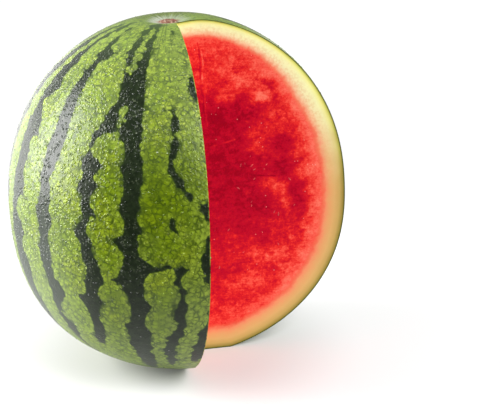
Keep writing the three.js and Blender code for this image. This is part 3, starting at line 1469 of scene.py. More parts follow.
    def richness(self, sheet: NodeSheet) -> Wire:
        """1 amid the darker, drier green that is painted shade, and 0 outside it."""
        return sheet.fall(sheet.steps("DISTANCE", sheet.place(), self.at.deep), *self.at.deep_away)

    def flank(self, sheet: NodeSheet) -> Wire:
        """1 on the lower left side, which is painted paler as a sheen, and 0 outside it."""
        x, _, z = sheet.parts(sheet.place())
        return sheet.rise(-x, *self.at.flank_out) * sheet.fall(z, *self.at.flank_up)

    def wetness(self, sheet: NodeSheet) -> Wire:
        """1 where small beads of water cover the skin: its upper part and its left side."""
        x, _, z = sheet.parts(sheet.place())
        upwards, outwards = self.at.slant
        patch = (sheet.noise(sheet.place(), *self.grain.wet) - 0.5) * 0.11
        wet = sheet.rise(z * upwards - x * outwards + patch, *self.at.wet)
        return sheet.from_least(wet, 0.12)

    def field(self, sheet: NodeSheet, place: Wire, edge: Wire, stem: Wire, flecks_and_glints: Wire) -> Wire:
        """The light skin: drifting greens, a fine dark net, flecks, and painted sheen and shade.

        Args:
            sheet: the material's tree.
            place: the place on the skin.
            edge: the distance outside a stripe's ragged edge, in millimetres.
            stem: the way down from the stem end, in millimetres.
            flecks_and_glints: 1 on the pale flecks, which are partly painted glints.

        Returns:
            The colour.
        """
        at, grain, level = self.at, self.grain, self.level
        drift = sheet.noise(place, *grain.drift)
        field = sheet.blend(sheet.rise(drift, *level.lime), self.light, self.lime)
        field = sheet.blend(sheet.fall(drift, *level.olive), field, self.olive)
        x, y, z = sheet.parts(sheet.place())
        # The skin beside the notch's upright edge is painted paler, as a sheen.
        lit = sheet.fall(FruitSizes.corner_x - x, *at.lit) * (y < FruitSizes.corner_y)
        field = sheet.blend(lit * 0.60, field, self.pale)
        # The fields of the lower left side are painted paler as a sheen.
        field = sheet.blend(self.flank(sheet) * 0.30, field, self.pale)
        # A broad patch of darker, richer green, which is painted shade.
        deep = self.richness(sheet)
        field = sheet.blend(deep * 0.75, field, self.deep)
        rim = sheet.fall(edge, *level.rim) * 0.45
        field = sheet.blend(rim * sheet.spared(deep, 0.5), field, self.pale)
        smooth = sheet.fall(stem, *self.near.smooth)
        field = self.veined(sheet, place, field, drift, smooth)
        # Two belts of painted whitish sheen by height: one on the upper part and a fainter one low
        # down.
        top_sheen = sheet.rise(z, *at.sheen_top) * 0.06
        low = sheet.fall(z, *at.sheen_low) * sheet.rise(z, *at.sheen_foot)
        field = sheet.blend(top_sheen + low * 0.04, field, self.bloom)
        field = sheet.blend(smooth * 0.45, field, self.shade)
        # A grey sheen painted on the far shoulder.
        far = sheet.rise(y, *at.shoulder_back) * sheet.rise(z, *at.shoulder_up)
        field = sheet.blend(far * 0.65, field, self.wax)
        hairs = sheet.rise(self.rays(sheet), *level.hairs)
        hairs = hairs * sheet.fall(stem, *self.near.hairs)
        field = sheet.blend(hairs * 0.65, field, self.head)
        flecks_and_glints = flecks_and_glints * (0.7 - 0.4 * deep)
        return sheet.blend(flecks_and_glints * sheet.spared(smooth, 0.6), field, self.fleck)

    def veined(
        self, sheet: NodeSheet, place: Wire, field: Wire, drift: Wire, smooth: Wire
    ) -> Wire:
        """The light skin with its crowns, its fine net and its coarse one in the veins' colour.

        Args:
            sheet: the material's tree.
            place: the place on the skin.
            field: the colour without veins.
            drift: slow noise.
            smooth: the noise that spares some of the net.

        Returns:
            The colour.
        """
        grain, level = self.grain, self.level
        bent = sheet.swirl(place, *grain.net_swirl)
        crowns = sheet.rise(sheet.cells(bent, grain.net_cell), *level.crowns)
        crowns = crowns * sheet.spared(smooth, 0.7)
        field = sheet.blend(crowns * 0.48, field, self.vein)
        net = sheet.cells(bent, grain.net_cell, "DISTANCE_TO_EDGE")
        veins = sheet.rise(sheet.noise(place, *grain.broken), *level.broken)
        veins = sheet.fall(net, *level.veins) * veins * 0.85
        coarse = sheet.swirl(place, *grain.seam_swirl)
        coarse = sheet.cells(coarse, grain.seam_cell, "DISTANCE_TO_EDGE")
        seams = sheet.fall(coarse, *level.seams) * sheet.rise(drift, *level.seam_patches)
        veins = sheet.math("MAXIMUM", veins, seams * 0.6)
        field = sheet.blend(veins, field, self.vein)
        fine = sheet.rise(sheet.noise(place, *grain.fine), *level.fine)
        return sheet.blend(fine * 0.68, field, self.vein)

    def stripe(self, sheet: NodeSheet, place: Wire, edge: Wire, stem: Wire, flecks_and_glints: Wire) -> Wire:
        """The dark skin, greener at its edges and near the stem, with grey flecks, partly painted
        glints.

        Args:
            sheet: the material's tree.
            place: the place on the skin.
            edge: the distance outside a stripe's ragged edge.
            stem: the way down from the stem end.
            flecks_and_glints: 1 on the pale flecks, which are partly painted glints.

        Returns:
            The colour.
        """
        patch = sheet.rise(sheet.noise(place, *self.grain.dark), *self.level.mottle)
        dark = sheet.blend(patch, self.dark, self.dark_mottle)
        dark = sheet.blend(sheet.rise(edge, *self.level.green) * 0.6, dark, self.edge)
        dark = sheet.blend(sheet.fall(stem, *self.near.head) * 0.85, dark, self.head)
        return sheet.blend(flecks_and_glints * 0.45, dark, self.dark_fleck)


@dataclass(frozen=True)
class FleshGrain:
    """The sizes of the patterns in the flesh and the rind, in metres, as the skin has them.

    The fibres and the flesh's other patterns are stretched across the fruit by a share of each
    axis.
    """

    wobble: Noise = (0.009, 3.0, 0.6)
    ripple: Noise = (0.0024, 2.0, 0.6)
    drift: Noise = (0.016, 2.0, 0.5)
    mottle: Noise = (0.0017, 3.0, 0.65)
    fibre: Noise = (0.0010, 3.0, 0.65)
    fine: Noise = (0.0013, 3.0, 0.7)
    specks: Noise = (0.016, 2.0, 0.5)
    clouds: Noise = (0.0085, 4.0, 0.65)
    crumbs: Noise = (0.0032, 3.0, 0.7)
    waver: Noise = (0.011, 2.0, 0.5)
    broken: Noise = (0.007, 1.0, 0.5)
    cloud_swirl: Span = (0.012, 0.004)
    pit_swirl: Span = (0.003, 0.0008)
    pit_cell: float = 0.0023
    speck_cell: float = 0.0042
    fibre_stretch: tuple[float, float, float] = (0.14, 0.14, 1.0)
    stretch: tuple[float, float, float] = (0.88, 0.88, 1.0)


@dataclass(frozen=True)
class FleshSpans:
    """Where the effects in the flesh and the rind begin and end.

    Attributes:
        thin, brown: heights in metres, where the rind thins and below which it is painted browner
            as shade.
        wavy: depths in millimetres, from which the layers waver.
        mottled, flesh, dented, edge: depths as shares of the rind's thickness.
        calm, outer: how far out from the core, in metres, the flesh is less even and paler.
        whorl, fold: distances in millimetres from the whorl's middle and from a fold.
        mottle, speck_cells, specks, broken: levels of a pattern.
    """

    thin: Span = (0.175, 0.243)
    brown: Span = (0.115, 0.190)
    wavy: Span = (3.0, 12.0)
    mottled: Span = (0.15, 0.80)
    flesh: Span = (1.05, 1.30)
    dented: Span = (0.9, 1.4)
    edge: Span = (1.10, 2.00)
    calm: Span = (0.028, 0.055)
    outer: Span = (0.040, 0.095)
    whorl: Span = (3.0, 13.0)
    fold: Span = (0.1, 1.0)
    mottle: Span = (0.42, 0.64)
    speck_cells: Span = (0.05, 0.12)
    specks: Span = (0.52, 0.62)
    broken: Span = (0.35, 0.60)


@dataclass(frozen=True)
class FleshFinish:
    """The cut faces: the rind's layers under the skin, and the red flesh inside them.

    Attributes:
        upper_rind: the layers' colours near the stem. Each has its depth as a share of twice the
            rind's thickness.
        shade_and_mottle_rind: the same lower down, painted browner as shade and reflected light;
            mottles too.
        flesh: the flesh's colours, from the deepest crimson to the palest salmon.
        glint: the small specks painted as glints of light on the wet flesh.
        side_rind: the rind's thickness at the side, in millimetres.
        stem_rind: its thickness near the stem.
        whorl: the middle of the whorl where the fibres turn, in millimetres across and up.
        folds: thin lines on the face, each from one place to another, with how pale it is.
        shine, gloss: how strongly the wet flesh reflects, and how rough it is.
        bleed: how much light the flesh scatters, how far in metres, and that of each colour.
        bump: how strong the surface's dents are, and their depth in metres.
        grain, span: the patterns' sizes, and where the effects are.
    """

    upper_rind: Layers = (
        (0.0, (0.04, 0.06, 0.012)), (0.018, (0.08, 0.1, 0.015)), (0.036, (0.44, 0.43, 0.08)),
        (0.075, (0.7, 0.69, 0.18)), (0.12, (0.79, 0.77, 0.32)), (0.2, (0.8, 0.8, 0.43)),
        (0.345, (0.8, 0.72, 0.41)), (0.45, (0.785, 0.48, 0.285)), (0.525, (0.76, 0.215, 0.12)),
        (0.6, (0.76, 0.09, 0.055)),
    )  # fmt: skip
    shade_and_mottle_rind: Layers = (
        (0.0, (0.04, 0.06, 0.012)), (0.018, (0.08, 0.09, 0.015)), (0.04, (0.26, 0.2, 0.04)),
        (0.13, (0.495, 0.335, 0.103)), (0.25, (0.615, 0.365, 0.135)), (0.38, (0.68, 0.32, 0.13)),
        (0.46, (0.73, 0.25, 0.12)), (0.53, (0.73, 0.15, 0.08)), (0.61, (0.72, 0.08, 0.042)),
    )  # fmt: skip
    flesh: Layers = (
        (0.0, (0.29, 0.001, 0.012)), (0.16, (0.41, 0.002, 0.018)), (0.32, (0.46, 0.004, 0.019)),
        (0.48, (0.59, 0.011, 0.017)), (0.62, (0.695, 0.028, 0.022)), (0.78, (0.77, 0.078, 0.053)),
        (1.0, (0.8, 0.17, 0.112)),
    )  # fmt: skip
    glint: Colour = (0.800, 0.420, 0.360)
    side_rind: float = 15.6
    stem_rind: float = 10.0
    whorl: tuple[float, float] = (47.0, 180.0)
    folds: tuple[tuple[tuple[float, float], tuple[float, float], float], ...] = (
        ((12.0, 229.0), (15.5, 180.0), -0.40),
        ((14.0, 225.0), (17.5, 170.0), 0.45),
        ((23.0, 155.5), (38.0, 159.0), 0.60),
        ((52.0, 131.5), (67.0, 130.0), -0.90),
    )
    shine: float = 0.04
    gloss: float = 0.42
    bleed: tuple[float, float, Colour] = (0.12, 0.003, (1.0, 0.35, 0.25))
    bump: Span = (0.45, 0.0008)
    grain: FleshGrain = FleshGrain()
    span: FleshSpans = FleshSpans()

    def material(self) -> bpy.types.Material:
        """The cut faces' material, which reads the depth and the tone kept on the mesh.

        Returns:
            The material.
        """
        material, sheet, shader = plain_material("red_flesh")
        size, span, place = self.grain, self.span, sheet.place()
        depth = sheet.kept("rind_depth")
        _, _, height = sheet.parts(place)
        thick = sheet.between(sheet.rise(height, *span.thin), self.side_rind, self.stem_rind)
        inside = sheet.rise(depth, *span.wavy)
        wobble = (sheet.noise(place, *size.wobble) - 0.5) * inside * 0.30
        wobble = wobble + (sheet.noise(place, *size.ripple) - 0.5) * inside * 0.16
        share = depth / thick + wobble
        fibre = sheet.noise(sheet.steps("MULTIPLY", place, size.fibre_stretch), *size.fibre)
        fine = sheet.noise(place, *size.fine)
        tone = self.tone(sheet, place, share) + (fibre - 0.5) * 0.55 + (fine - 0.5) * 0.9
        flesh = sheet.ramp(tone * 0.5 + 0.5, self.flesh)
        # Small specks painted as glints of light on the wet flesh.
        specks = sheet.fall(sheet.cells(place, size.speck_cell), *span.speck_cells)
        specks = specks * sheet.rise(sheet.noise(place, *size.specks), *span.specks)
        flesh = sheet.blend(specks * 0.55, flesh, self.glint)
        rind = self.rind(sheet, place, share, height)
        pits = sheet.cells(sheet.swirl(place, *size.pit_swirl), size.pit_cell)
        relief = fine * 0.4 + pits * 0.3 + fibre * 0.3
        relief = relief * (0.1 + 0.9 * sheet.rise(share, *span.dented))
        weight, reach, colours = self.bleed
        plugs = {
            "Base Color": sheet.blend(sheet.rise(share, *span.flesh), rind, flesh),
            "Roughness": self.gloss + (fine - 0.5) * 0.2,
            "Specular IOR Level": self.shine,
            "Subsurface Weight": weight,
            "Subsurface Radius": colours,
            "Subsurface Scale": reach,
            "Normal": sheet.bump(*self.bump, relief),
        }
        sheet.fill(shader, plugs)
        return material

    def rind(self, sheet: NodeSheet, place: Wire, share: Wire, height: Wire) -> Wire:
        """The rind's layers, browner in small mottles, and painted browner low down as shade and
        reflected light.

        Args:
            sheet: the material's tree.
            place: the place on the face.
            share: the depth under the skin as a share of the rind's thickness.
            height: how high the place is, in metres.

        Returns:
            The colour.
        """
        upper = sheet.ramp(share * 0.5, self.upper_rind)
        lower = sheet.ramp(share * 0.5, self.shade_and_mottle_rind)
        drift = (sheet.noise(place, *self.grain.drift) - 0.5) * 0.028
        # Lower down the rind is painted browner, as shade and reflected red light.
        rind = sheet.blend(sheet.rise(height + drift, *self.span.brown), lower, upper)
        mottle = sheet.rise(sheet.noise(place, *self.grain.mottle), *self.span.mottle)
        mottle = mottle * sheet.rise(share, *self.span.mottled)
        return sheet.blend(mottle * 0.38, rind, lower)

    def tone(self, sheet: NodeSheet, place: Wire, share: Wire) -> Wire:
        """How pale the flesh is, from -1 at its most crimson to 1 at its most salmon.

        Args:
            sheet: the material's tree.
            place: the place on the face.
            share: the depth under the skin as a share of the rind's thickness.

        Returns:
            The tone.
        """
        size, span = self.grain, self.span
        flat = sheet.steps("MULTIPLY", place, size.stretch)
        clouds = sheet.noise(sheet.swirl(flat, *size.cloud_swirl), *size.clouds) - 0.5
        crumbs = sheet.noise(flat, *size.crumbs) - 0.5
        x, y, z = sheet.parts(place)
        calm = 0.88 + 0.12 * sheet.rise(x - y, *span.calm)
        edge = sheet.fall(share, *span.edge)
        tone = sheet.kept("flesh_tone")
        tone = tone + (clouds * 1.6 + crumbs * 1.8) * calm * (1.0 - 0.45 * edge)
        tone = tone + edge * (0.20 + 0.48 * sheet.rise(x - y, *span.outer))
        across, up = x / MM - self.whorl[0], z / MM - self.whorl[1]
        ring = (across * across + up * up) ** 0.5
        turn = sheet.math("SINE", ring * 1.5 + sheet.noise(place, *size.wobble) * 22.0)
        tone = tone + turn * sheet.fall(ring, *span.whorl) * 0.20
        waver = (sheet.noise(place, *size.waver) - 0.5) * 5.0
        shown = 0.3 + 0.7 * sheet.rise(sheet.noise(place, *size.broken), *span.broken)
        for start, end, change in self.folds:
            line = self.line(sheet, x / MM + waver, z / MM, start, end)
            tone = tone + sheet.fall(line, *span.fold) * shown * change
        return tone

    def line(
        self,
        sheet: NodeSheet,
        across: Wire,
        up: Wire,
        start: tuple[float, float],
        end: tuple[float, float],
    ) -> Wire:
        """The distance to a straight line from start to end, in millimetres.

        Args:
            sheet: the material's tree.
            across: how far out the place is, in millimetres.
            up: how high it is.
            start: the line's first end.
            end: its last end.

        Returns:
            The distance.
        """
        ex, ey = end[0] - start[0], end[1] - start[1]
        px, py = across - start[0], up - start[1]
        along = (px * ex + py * ey) / (ex * ex + ey * ey)
        along = sheet.math("MINIMUM", sheet.math("MAXIMUM", along, 0.0), 1.0)
        dx, dy = px - along * ex, py - along * ey
        return (dx * dx + dy * dy) ** 0.5


@dataclass(frozen=True)
class SeedFinish:
    """The thin pale skin of an empty seed coat.

    Attributes:
        pale, pink: its two colours, and shown the levels of noise between which they change.
        sizes: the sizes of its broad and fine patches, of its gloss and of its dents, in metres.
        bump: how strong its dents are, and their depth in metres.
    """

    pale: Colour = (0.640, 0.120, 0.100)
    pink: Colour = (0.480, 0.025, 0.035)
    shown: Span = (0.40, 0.58)
    sizes: tuple[float, ...] = (0.006, 0.0010, 0.0008, 0.0006)
    bump: Span = (0.3, 0.0002)

    def material(self) -> bpy.types.Material:
        """The seed coats' material.

        Returns:
            The material.
        """
        material, sheet, shader = plain_material("seed_coat")
        place = sheet.place()
        broad, fine, gloss, dents = (sheet.noise(place, size) for size in self.sizes)
        share = sheet.rise(broad * 0.7 + fine * 0.3, *self.shown)
        plugs = {"Base Color": sheet.blend(share, self.pale, self.pink)}
        plugs |= {"Roughness": 0.25 + 0.2 * gloss, "Normal": sheet.bump(*self.bump, dents)}
        sheet.fill(shader, plugs)
        return material


@dataclass(frozen=True)
class CorkFinish:
    """The dry, cracked, reddish cork of the stem scar.

    Attributes:
        cork, dark, dry: its colours, with the levels of noise between which dark and dry show.
        fine, broad: the sizes of its grain and of its dry patches.
        bump: how strong its cracks are, and their depth in metres.
    """

    cork: Colour = (0.190, 0.068, 0.040)
    dark: Colour = (0.075, 0.028, 0.014)
    dry: Colour = (0.520, 0.400, 0.290)
    dark_shown: Span = (0.30, 0.55)
    dry_shown: Span = (0.52, 0.68)
    fine: Noise = (0.0012, 4.0, 0.7)
    broad: Noise = (0.0025, 3.0, 0.6)
    bump: Span = (0.8, 0.0006)

    def material(self) -> bpy.types.Material:
        """The scar's material.

        Returns:
            The material.
        """
        material, sheet, shader = plain_material("stem_cork")
        place = sheet.place()
        grain = sheet.noise(place, *self.fine)
        colour = sheet.blend(sheet.rise(grain, *self.dark_shown), self.dark, self.cork)
        dry = sheet.rise(sheet.noise(place, *self.broad), *self.dry_shown)
        plugs = {"Base Color": sheet.blend(dry * 0.8, colour, self.dry)}
        plugs |= {"Roughness": 0.72 + 0.2 * grain, "Normal": sheet.bump(*self.bump, grain)}
        sheet.fill(shader, plugs)
        return material


# The pieces


@dataclass(frozen=True)
class CutFruit:
    """The watermelon itself, as one closed mesh."""

    sizes: FruitSizes = FruitSizes()
    fineness: Fineness = Fineness()

    def build(self) -> bpy.types.Object:
        """Grows the fruit, paints its stripes and dresses its skin and its cut faces.

        Returns:
            The fruit.
        """
        skin, flesh = SkinFinish().material(), FleshFinish().material()
        shape = FruitShape(self.sizes, self.fineness)
        fruit = shape.grow("watermelon_body", shape.whole(skin, flesh))
        StripePattern().paint(fruit.data, self.sizes)
        FleshPattern().paint(fruit.data, self.sizes)
        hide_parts(NODE)
        return fruit


@dataclass(frozen=True)
class WaterDrops(Labelled):
    """Small drops of water that stand on the skin.

    Attributes:
        radius: a big drop's radius, in metres.
        smallest: the smallest drop's size as a share of the biggest's.
        height: how high a drop stands as a share of its radius.
        apart: the least distance between two drops.
        crowd: the most drops to a square metre.
        seed: what sets their places.
        patches, patchy: the size of the wetter patches, and how much they count.
        wet, least: the slanted heights at which drops begin, and their share below those.
        behind: how much lower the far side counts, as a share of the way back.
        crest, dry_crest: the heights of the dry top, and the share of the drops it takes off.
        dry_deep: the share that the dry skin of the darker green painted as shade takes off.
        common: how much more common small drops are, as a power.
    """

    patches = 0.030
    patchy = 0.12
    wet = (0.060, 0.160)
    behind = 0.8
    least = 0.05
    crest = (0.218, 0.238)
    dry_crest = 0.8
    dry_deep = 0.6
    common = 1.8

    radius: float = 0.00086
    smallest: float = 0.34
    height: float = 0.33
    apart: float = 0.0019
    crowd: float = 85000.0
    seed: int = 5

    def build(self, fruit: bpy.types.Object) -> bpy.types.Object:
        """Stands the drops on the skin, more of them on its upper part and its left side.

        Args:
            fruit: the fruit that they stand on.

        Returns:
            The drops, as one object.
        """
        sheet = GeometrySheet("Water Drops", self.labelled(), takes_mesh=True)
        x, y, z = sheet.parts(sheet.place())
        upwards, outwards = SkinPlaces.slant
        patch = (sheet.noise(sheet.place(), self.patches) - 0.5) * self.patchy
        behind = sheet.math("MAXIMUM", y, 0.0) * self.behind
        wet = sheet.rise(z * upwards - x * outwards - behind + patch, *self.wet)
        wet = wet * sheet.spared(sheet.rise(z, *self.crest), self.dry_crest)
        wet = wet * sheet.spared(SkinFinish().richness(sheet), self.dry_deep)
        skin = sheet.made("GeometryNodeInputMaterialIndex") < 0.5
        plugs = {"Mesh": sheet["Mesh"], "Selection": skin, "Seed": sheet["Seed"]}
        plugs |= {"Distance Min": sheet["Apart"], "Density Max": sheet["Crowd"]}
        plugs["Density Factor"] = sheet.from_least(wet, self.least)
        kind = "GeometryNodeDistributePointsOnFaces"
        spread = sheet.add(kind, plugs, distribute_method="POISSON")
        ball = {"Segments": 6, "Rings": 4, "Radius": sheet["Radius"]}
        drop = sheet.smooth(sheet.made("GeometryNodeMeshUVSphere", ball))
        share = sheet.chance(0.0, 1.0, seed=3) ** self.common
        size = sheet.between(share, sheet["Smallest"], 1.0)
        scale = sheet.vector(size, size, size * sheet["Height"])
        plugs = {"Points": sheet.out(spread, "Points"), "Instance": drop, "Scale": scale}
        plugs["Rotation"] = sheet.out(spread, "Rotation")
        drops = sheet.made("GeometryNodeInstanceOnPoints", plugs)
        drops = sheet.made("GeometryNodeRealizeInstances", {0: drops})
        # The drops wear a glossier copy of the skin's finish, painted lighter as gathered light.
        water = SkinFinish(brighter=1.25, gloss=0.16, shine=0.5, water=0.6).material("wet_drops")
        return sheet.grow("water_drops", sheet.dressed(drops, water), fruit.data)


@dataclass(frozen=True)
class SeedCoats:
    """The small pale empty seed coats that the cut faces show.

    Attributes:
        length, width, thickness: a big one's size, in metres.
        front_places: where they lie on the front face, in millimetres across and up.
        side_count, side_seed: how many the side face has, drawn at random, and what sets them.
        side_middle, side_reach: the middle of their ring in millimetres, and its two radii.
        tall: how much taller than wide the ring is.
        taper: how much narrower a coat is at its tip, and where along it that begins and ends.
        tilt: how far it turns either way, in radians.
        smallest: the smallest one's size as a share of a big one's.
    """

    side_seed = 31
    side_middle, side_reach, tall = (-48.0, 116.0), (22.0, 46.0), 1.25
    taper, tapers = 0.9, (-0.1, 0.6)
    tilt, smallest = 1.3, 0.45

    length: float = 0.0034
    width: float = 0.0011
    thickness: float = 0.0009
    front_places: tuple[tuple[float, float], ...] = (
        (42, 140), (45, 141), (50, 139), (52, 136), (61, 139), (52, 129), (49, 146), (40, 123),
        (50, 112), (50, 109), (67, 103), (70, 101), (78, 127), (82, 107), (33, 92), (58, 88),
        (26, 64), (47, 60), (70, 78), (44, 74),
    )  # fmt: skip
    side_count: int = 24

    def places(self, sizes: FruitSizes) -> bpy.types.Mesh:
        """The seed coats' places as loose points, with the way that each point's face looks.

        Args:
            sizes: the fruit's sizes.

        Returns:
            A mesh of points alone.
        """
        spots = [(x * MM, sizes.corner_y, z * MM) for x, z in self.front_places]
        chance, middle = np.random.default_rng(self.side_seed), self.side_middle
        for _ in range(self.side_count):
            turn, reach = chance.uniform(0.0, 2.0 * math.pi), chance.uniform(*self.side_reach)
            y = middle[0] + reach * math.cos(turn)
            z = middle[1] + self.tall * reach * math.sin(turn)
            spots.append((sizes.corner_x, y * MM, z * MM))
        mesh = bpy.data.meshes.new("seed_places")
        mesh.from_pydata(spots, [], [])
        turned = [0.0] * len(self.front_places) + [math.pi / 2.0] * self.side_count
        keep(mesh, "facing", np.array(turned))
        return mesh

    def build(self, sizes: FruitSizes) -> bpy.types.Object:
        """Lays the seed coats in the cut faces, each turned its own way.

        Args:
            sizes: the fruit's sizes.

        Returns:
            The seed coats, as one object.
        """
        given = {"Length": self.length, "Width": self.width, "Thickness": self.thickness}
        sheet = GeometrySheet("Seed Coats", given, takes_mesh=True)
        ball = {"Segments": 10, "Rings": 8, "Radius": 0.5}
        coat = sheet.made("GeometryNodeMeshUVSphere", ball)
        x, y, z = sheet.parts(sheet.place())
        taper = sheet.spared(sheet.rise(z, *self.tapers), self.taper)
        x, y = x * taper * sheet["Width"], y * taper * sheet["Thickness"]
        coat = sheet.move(coat, sheet.vector(x, y, z * sheet["Length"]))
        coat = sheet.smooth(coat)
        roll = sheet.chance(-self.tilt, self.tilt, seed=11)
        size = sheet.chance(self.smallest, 1.0, seed=12)
        facing = {"Name": "facing"}
        facing = sheet.made("GeometryNodeInputNamedAttribute", facing, data_type="FLOAT")
        plugs = {"Points": sheet["Mesh"], "Instance": coat, "Scale": size}
        plugs["Rotation"] = sheet.vector(0.0, roll, facing)
        coats = sheet.made("GeometryNodeInstanceOnPoints", plugs)
        coats = sheet.made("GeometryNodeRealizeInstances", {0: coats})
        coats = sheet.dressed(coats, SeedFinish().material())
        return sheet.grow("seed_coats", coats, self.places(sizes))


@dataclass(frozen=True)
class StemScar:
    """The corky button that the stem leaves in its dimple, cracked from its middle outwards.

    Attributes:
        radius: the button's radius, in metres.
        stands: how far its rim stands above the dimple's skin.
        sinks: how deep its middle is below its lip.
        buried: how far it goes down into the fruit.
        crack, ripple: how deep its cracks and its small ripples are.
        lip, crack_breadth: where the lip is and how broad, and how broad a crack is, as shares.
        lobes: how many cracks it has.
        rings, sides: how finely it is divided from top to bottom and round.
        seed: what sets where its cracks and ripples lie.
    """

    radius: float = 0.0068
    stands: float = 0.0007
    sinks: float = 0.0010
    buried: float = 0.0030
    crack: float = 0.0009
    ripple: float = 0.0002
    lip: Span = (0.66, 0.28)
    crack_breadth: float = 0.22
    lobes: int = 9
    rings: int = 26
    sides: int = 72
    seed: int = 17

    def height(self, share: float, upper: bool, turn: np.ndarray, phase: np.ndarray) -> np.ndarray:
        """How far a ring of this share of the radius stands above the skin, at each turn.

        Args:
            share: the ring's share of the radius.
            upper: whether it is on the upper side, which can be seen.
            turn: the angles.
            phase: where the waves start.

        Returns:
            The heights.
        """
        ripples = self.ripple * np.sin(11 * turn + 9 * share + phase[3])
        if not upper:
            return -self.buried * (1.0 - share) + ripples
        middle, breadth = self.lip
        lip = math.exp(-(((share - middle) / breadth) ** 2))
        away = np.abs(np.sin(0.5 * self.lobes * turn + phase[2] + 1.5 * share))
        cracks = self.crack * share * np.exp(-((away / self.crack_breadth) ** 2))
        return self.stands * (1.0 - share**6) - self.sinks * (1.0 - lip) - cracks + ripples

    def points(self, sizes: FruitSizes) -> np.ndarray:
        """The button's points, ring by ring, and then its top and its bottom.

        Args:
            sizes: the fruit's sizes.

        Returns:
            The points, one to a row.
        """
        phase = np.random.default_rng(self.seed).uniform(0.0, 2.0 * math.pi, 4)
        turn = np.linspace(0.0, 2.0 * math.pi, self.sides, endpoint=False)
        skin_radius, skin_rise = sizes.ring(np.linspace(0.001, 0.3, 400))
        ragged = 1.0 + 0.06 * np.sin(3 * turn + phase[0]) + 0.04 * np.sin(7 * turn + phase[1])
        points = []
        for step in range(1, self.rings):
            slope = math.pi * step / self.rings
            share = math.sin(slope) ** 0.75
            radius = self.radius * share * ragged
            rise = np.interp(radius, skin_radius, skin_rise)
            rise = rise + self.height(share, slope < math.pi / 2.0, turn, phase)
            points.extend(np.stack([radius * np.cos(turn), radius * np.sin(turn), rise], 1))
        for end in (self.stands - self.sinks, -self.buried):
            points.append(np.array([0.0, 0.0, float(skin_rise[0]) + end]))
        return np.array(points)

    def build(self, sizes: FruitSizes) -> bpy.types.Object:
        """Makes the button as one closed mesh, in place on the leaning fruit.

        Args:
            sizes: the fruit's sizes.

        Returns:
            The button.
        """
        points = sizes.turned(self.points(sizes))
        sides = [(side, (side + 1) % self.sides) for side in range(self.sides)]
        last = (self.rings - 2) * self.sides
        faces = []
        for here in range(0, last, self.sides):
            under = here + self.sides
            faces += [(here + a, under + a, under + b, here + b) for a, b in sides]
        for a, b in sides:
            faces += [(len(points) - 2, a, b), (len(points) - 1, last + b, last + a)]
        mesh = bpy.data.meshes.new("stem_scar")
        mesh.from_pydata([tuple(point) for point in points], [], faces)
        mesh.shade_smooth()
        mesh.materials.append(CorkFinish().material())
        return placed("stem_scar", mesh)


def tidy_slots(mesh: bpy.types.Mesh) -> None:
    """Removes the empty material slots that joining leaves, and keeps each face's material."""
    chosen = np.empty(len(mesh.polygons), np.int32)
    mesh.polygons.foreach_get("material_index", chosen)
    kept = [index for index, material in enumerate(mesh.materials) if material is not None]
    materials = [mesh.materials[index] for index in kept]
    mesh.materials.clear()
    for material in materials:
        mesh.materials.append(material)
    mesh.polygons.foreach_set("material_index", np.searchsorted(kept, chosen).astype(np.int32))


# Camera, light and stage


@dataclass(frozen=True)
class Viewpoint:
    """Where the camera stands, in metres, and which way it looks, in degrees."""

    place: tuple[float, float, float] = (-0.1738, -0.8941, 0.4167)
    heading: float = 14.17
    down: float = 18.54
    lens: float = 96.33

    def set_up(self) -> None:
        """Makes the scene's camera."""
        lens = bpy.data.cameras.new("Camera")
        lens.sensor_width, lens.lens = 36.0, self.lens
        lens.clip_start, lens.clip_end = 0.01, 50.0
        camera = placed("Camera", lens)
        turn = Matrix.Rotation(math.radians(-self.heading), 4, "Z")
        tip = Matrix.Rotation(math.radians(90.0 - self.down), 4, "X")
        camera.matrix_world = Matrix.Translation(self.place) @ turn @ tip
        bpy.context.scene.camera = camera


@dataclass(frozen=True)
class Softbox:
    """A soft rectangular lamp aimed at the fruit's middle. Angles in degrees, sizes in metres."""

    name: str
    azimuth: float
    elevation: float
    distance: float
    width: float
    height: float
    watts: float

    def set_up(self, target: Vector) -> None:
        """Makes the lamp at its direction from the target.

        Args:
            target: the place that the lamp faces.
        """
        lamp = bpy.data.lights.new(self.name, "AREA")
        lamp.shape, lamp.size, lamp.size_y = "RECTANGLE", self.width, self.height
        lamp.energy = self.watts
        turn, lift = math.radians(self.azimuth), math.radians(self.elevation)
        away = Vector(
            (math.sin(turn) * math.cos(lift), -math.cos(turn) * math.cos(lift), math.sin(lift))
        )
        holder = placed(self.name, lamp)
        holder.location = target + away * self.distance
        holder.rotation_euler = away.to_track_quat("Z", "Y").to_euler()


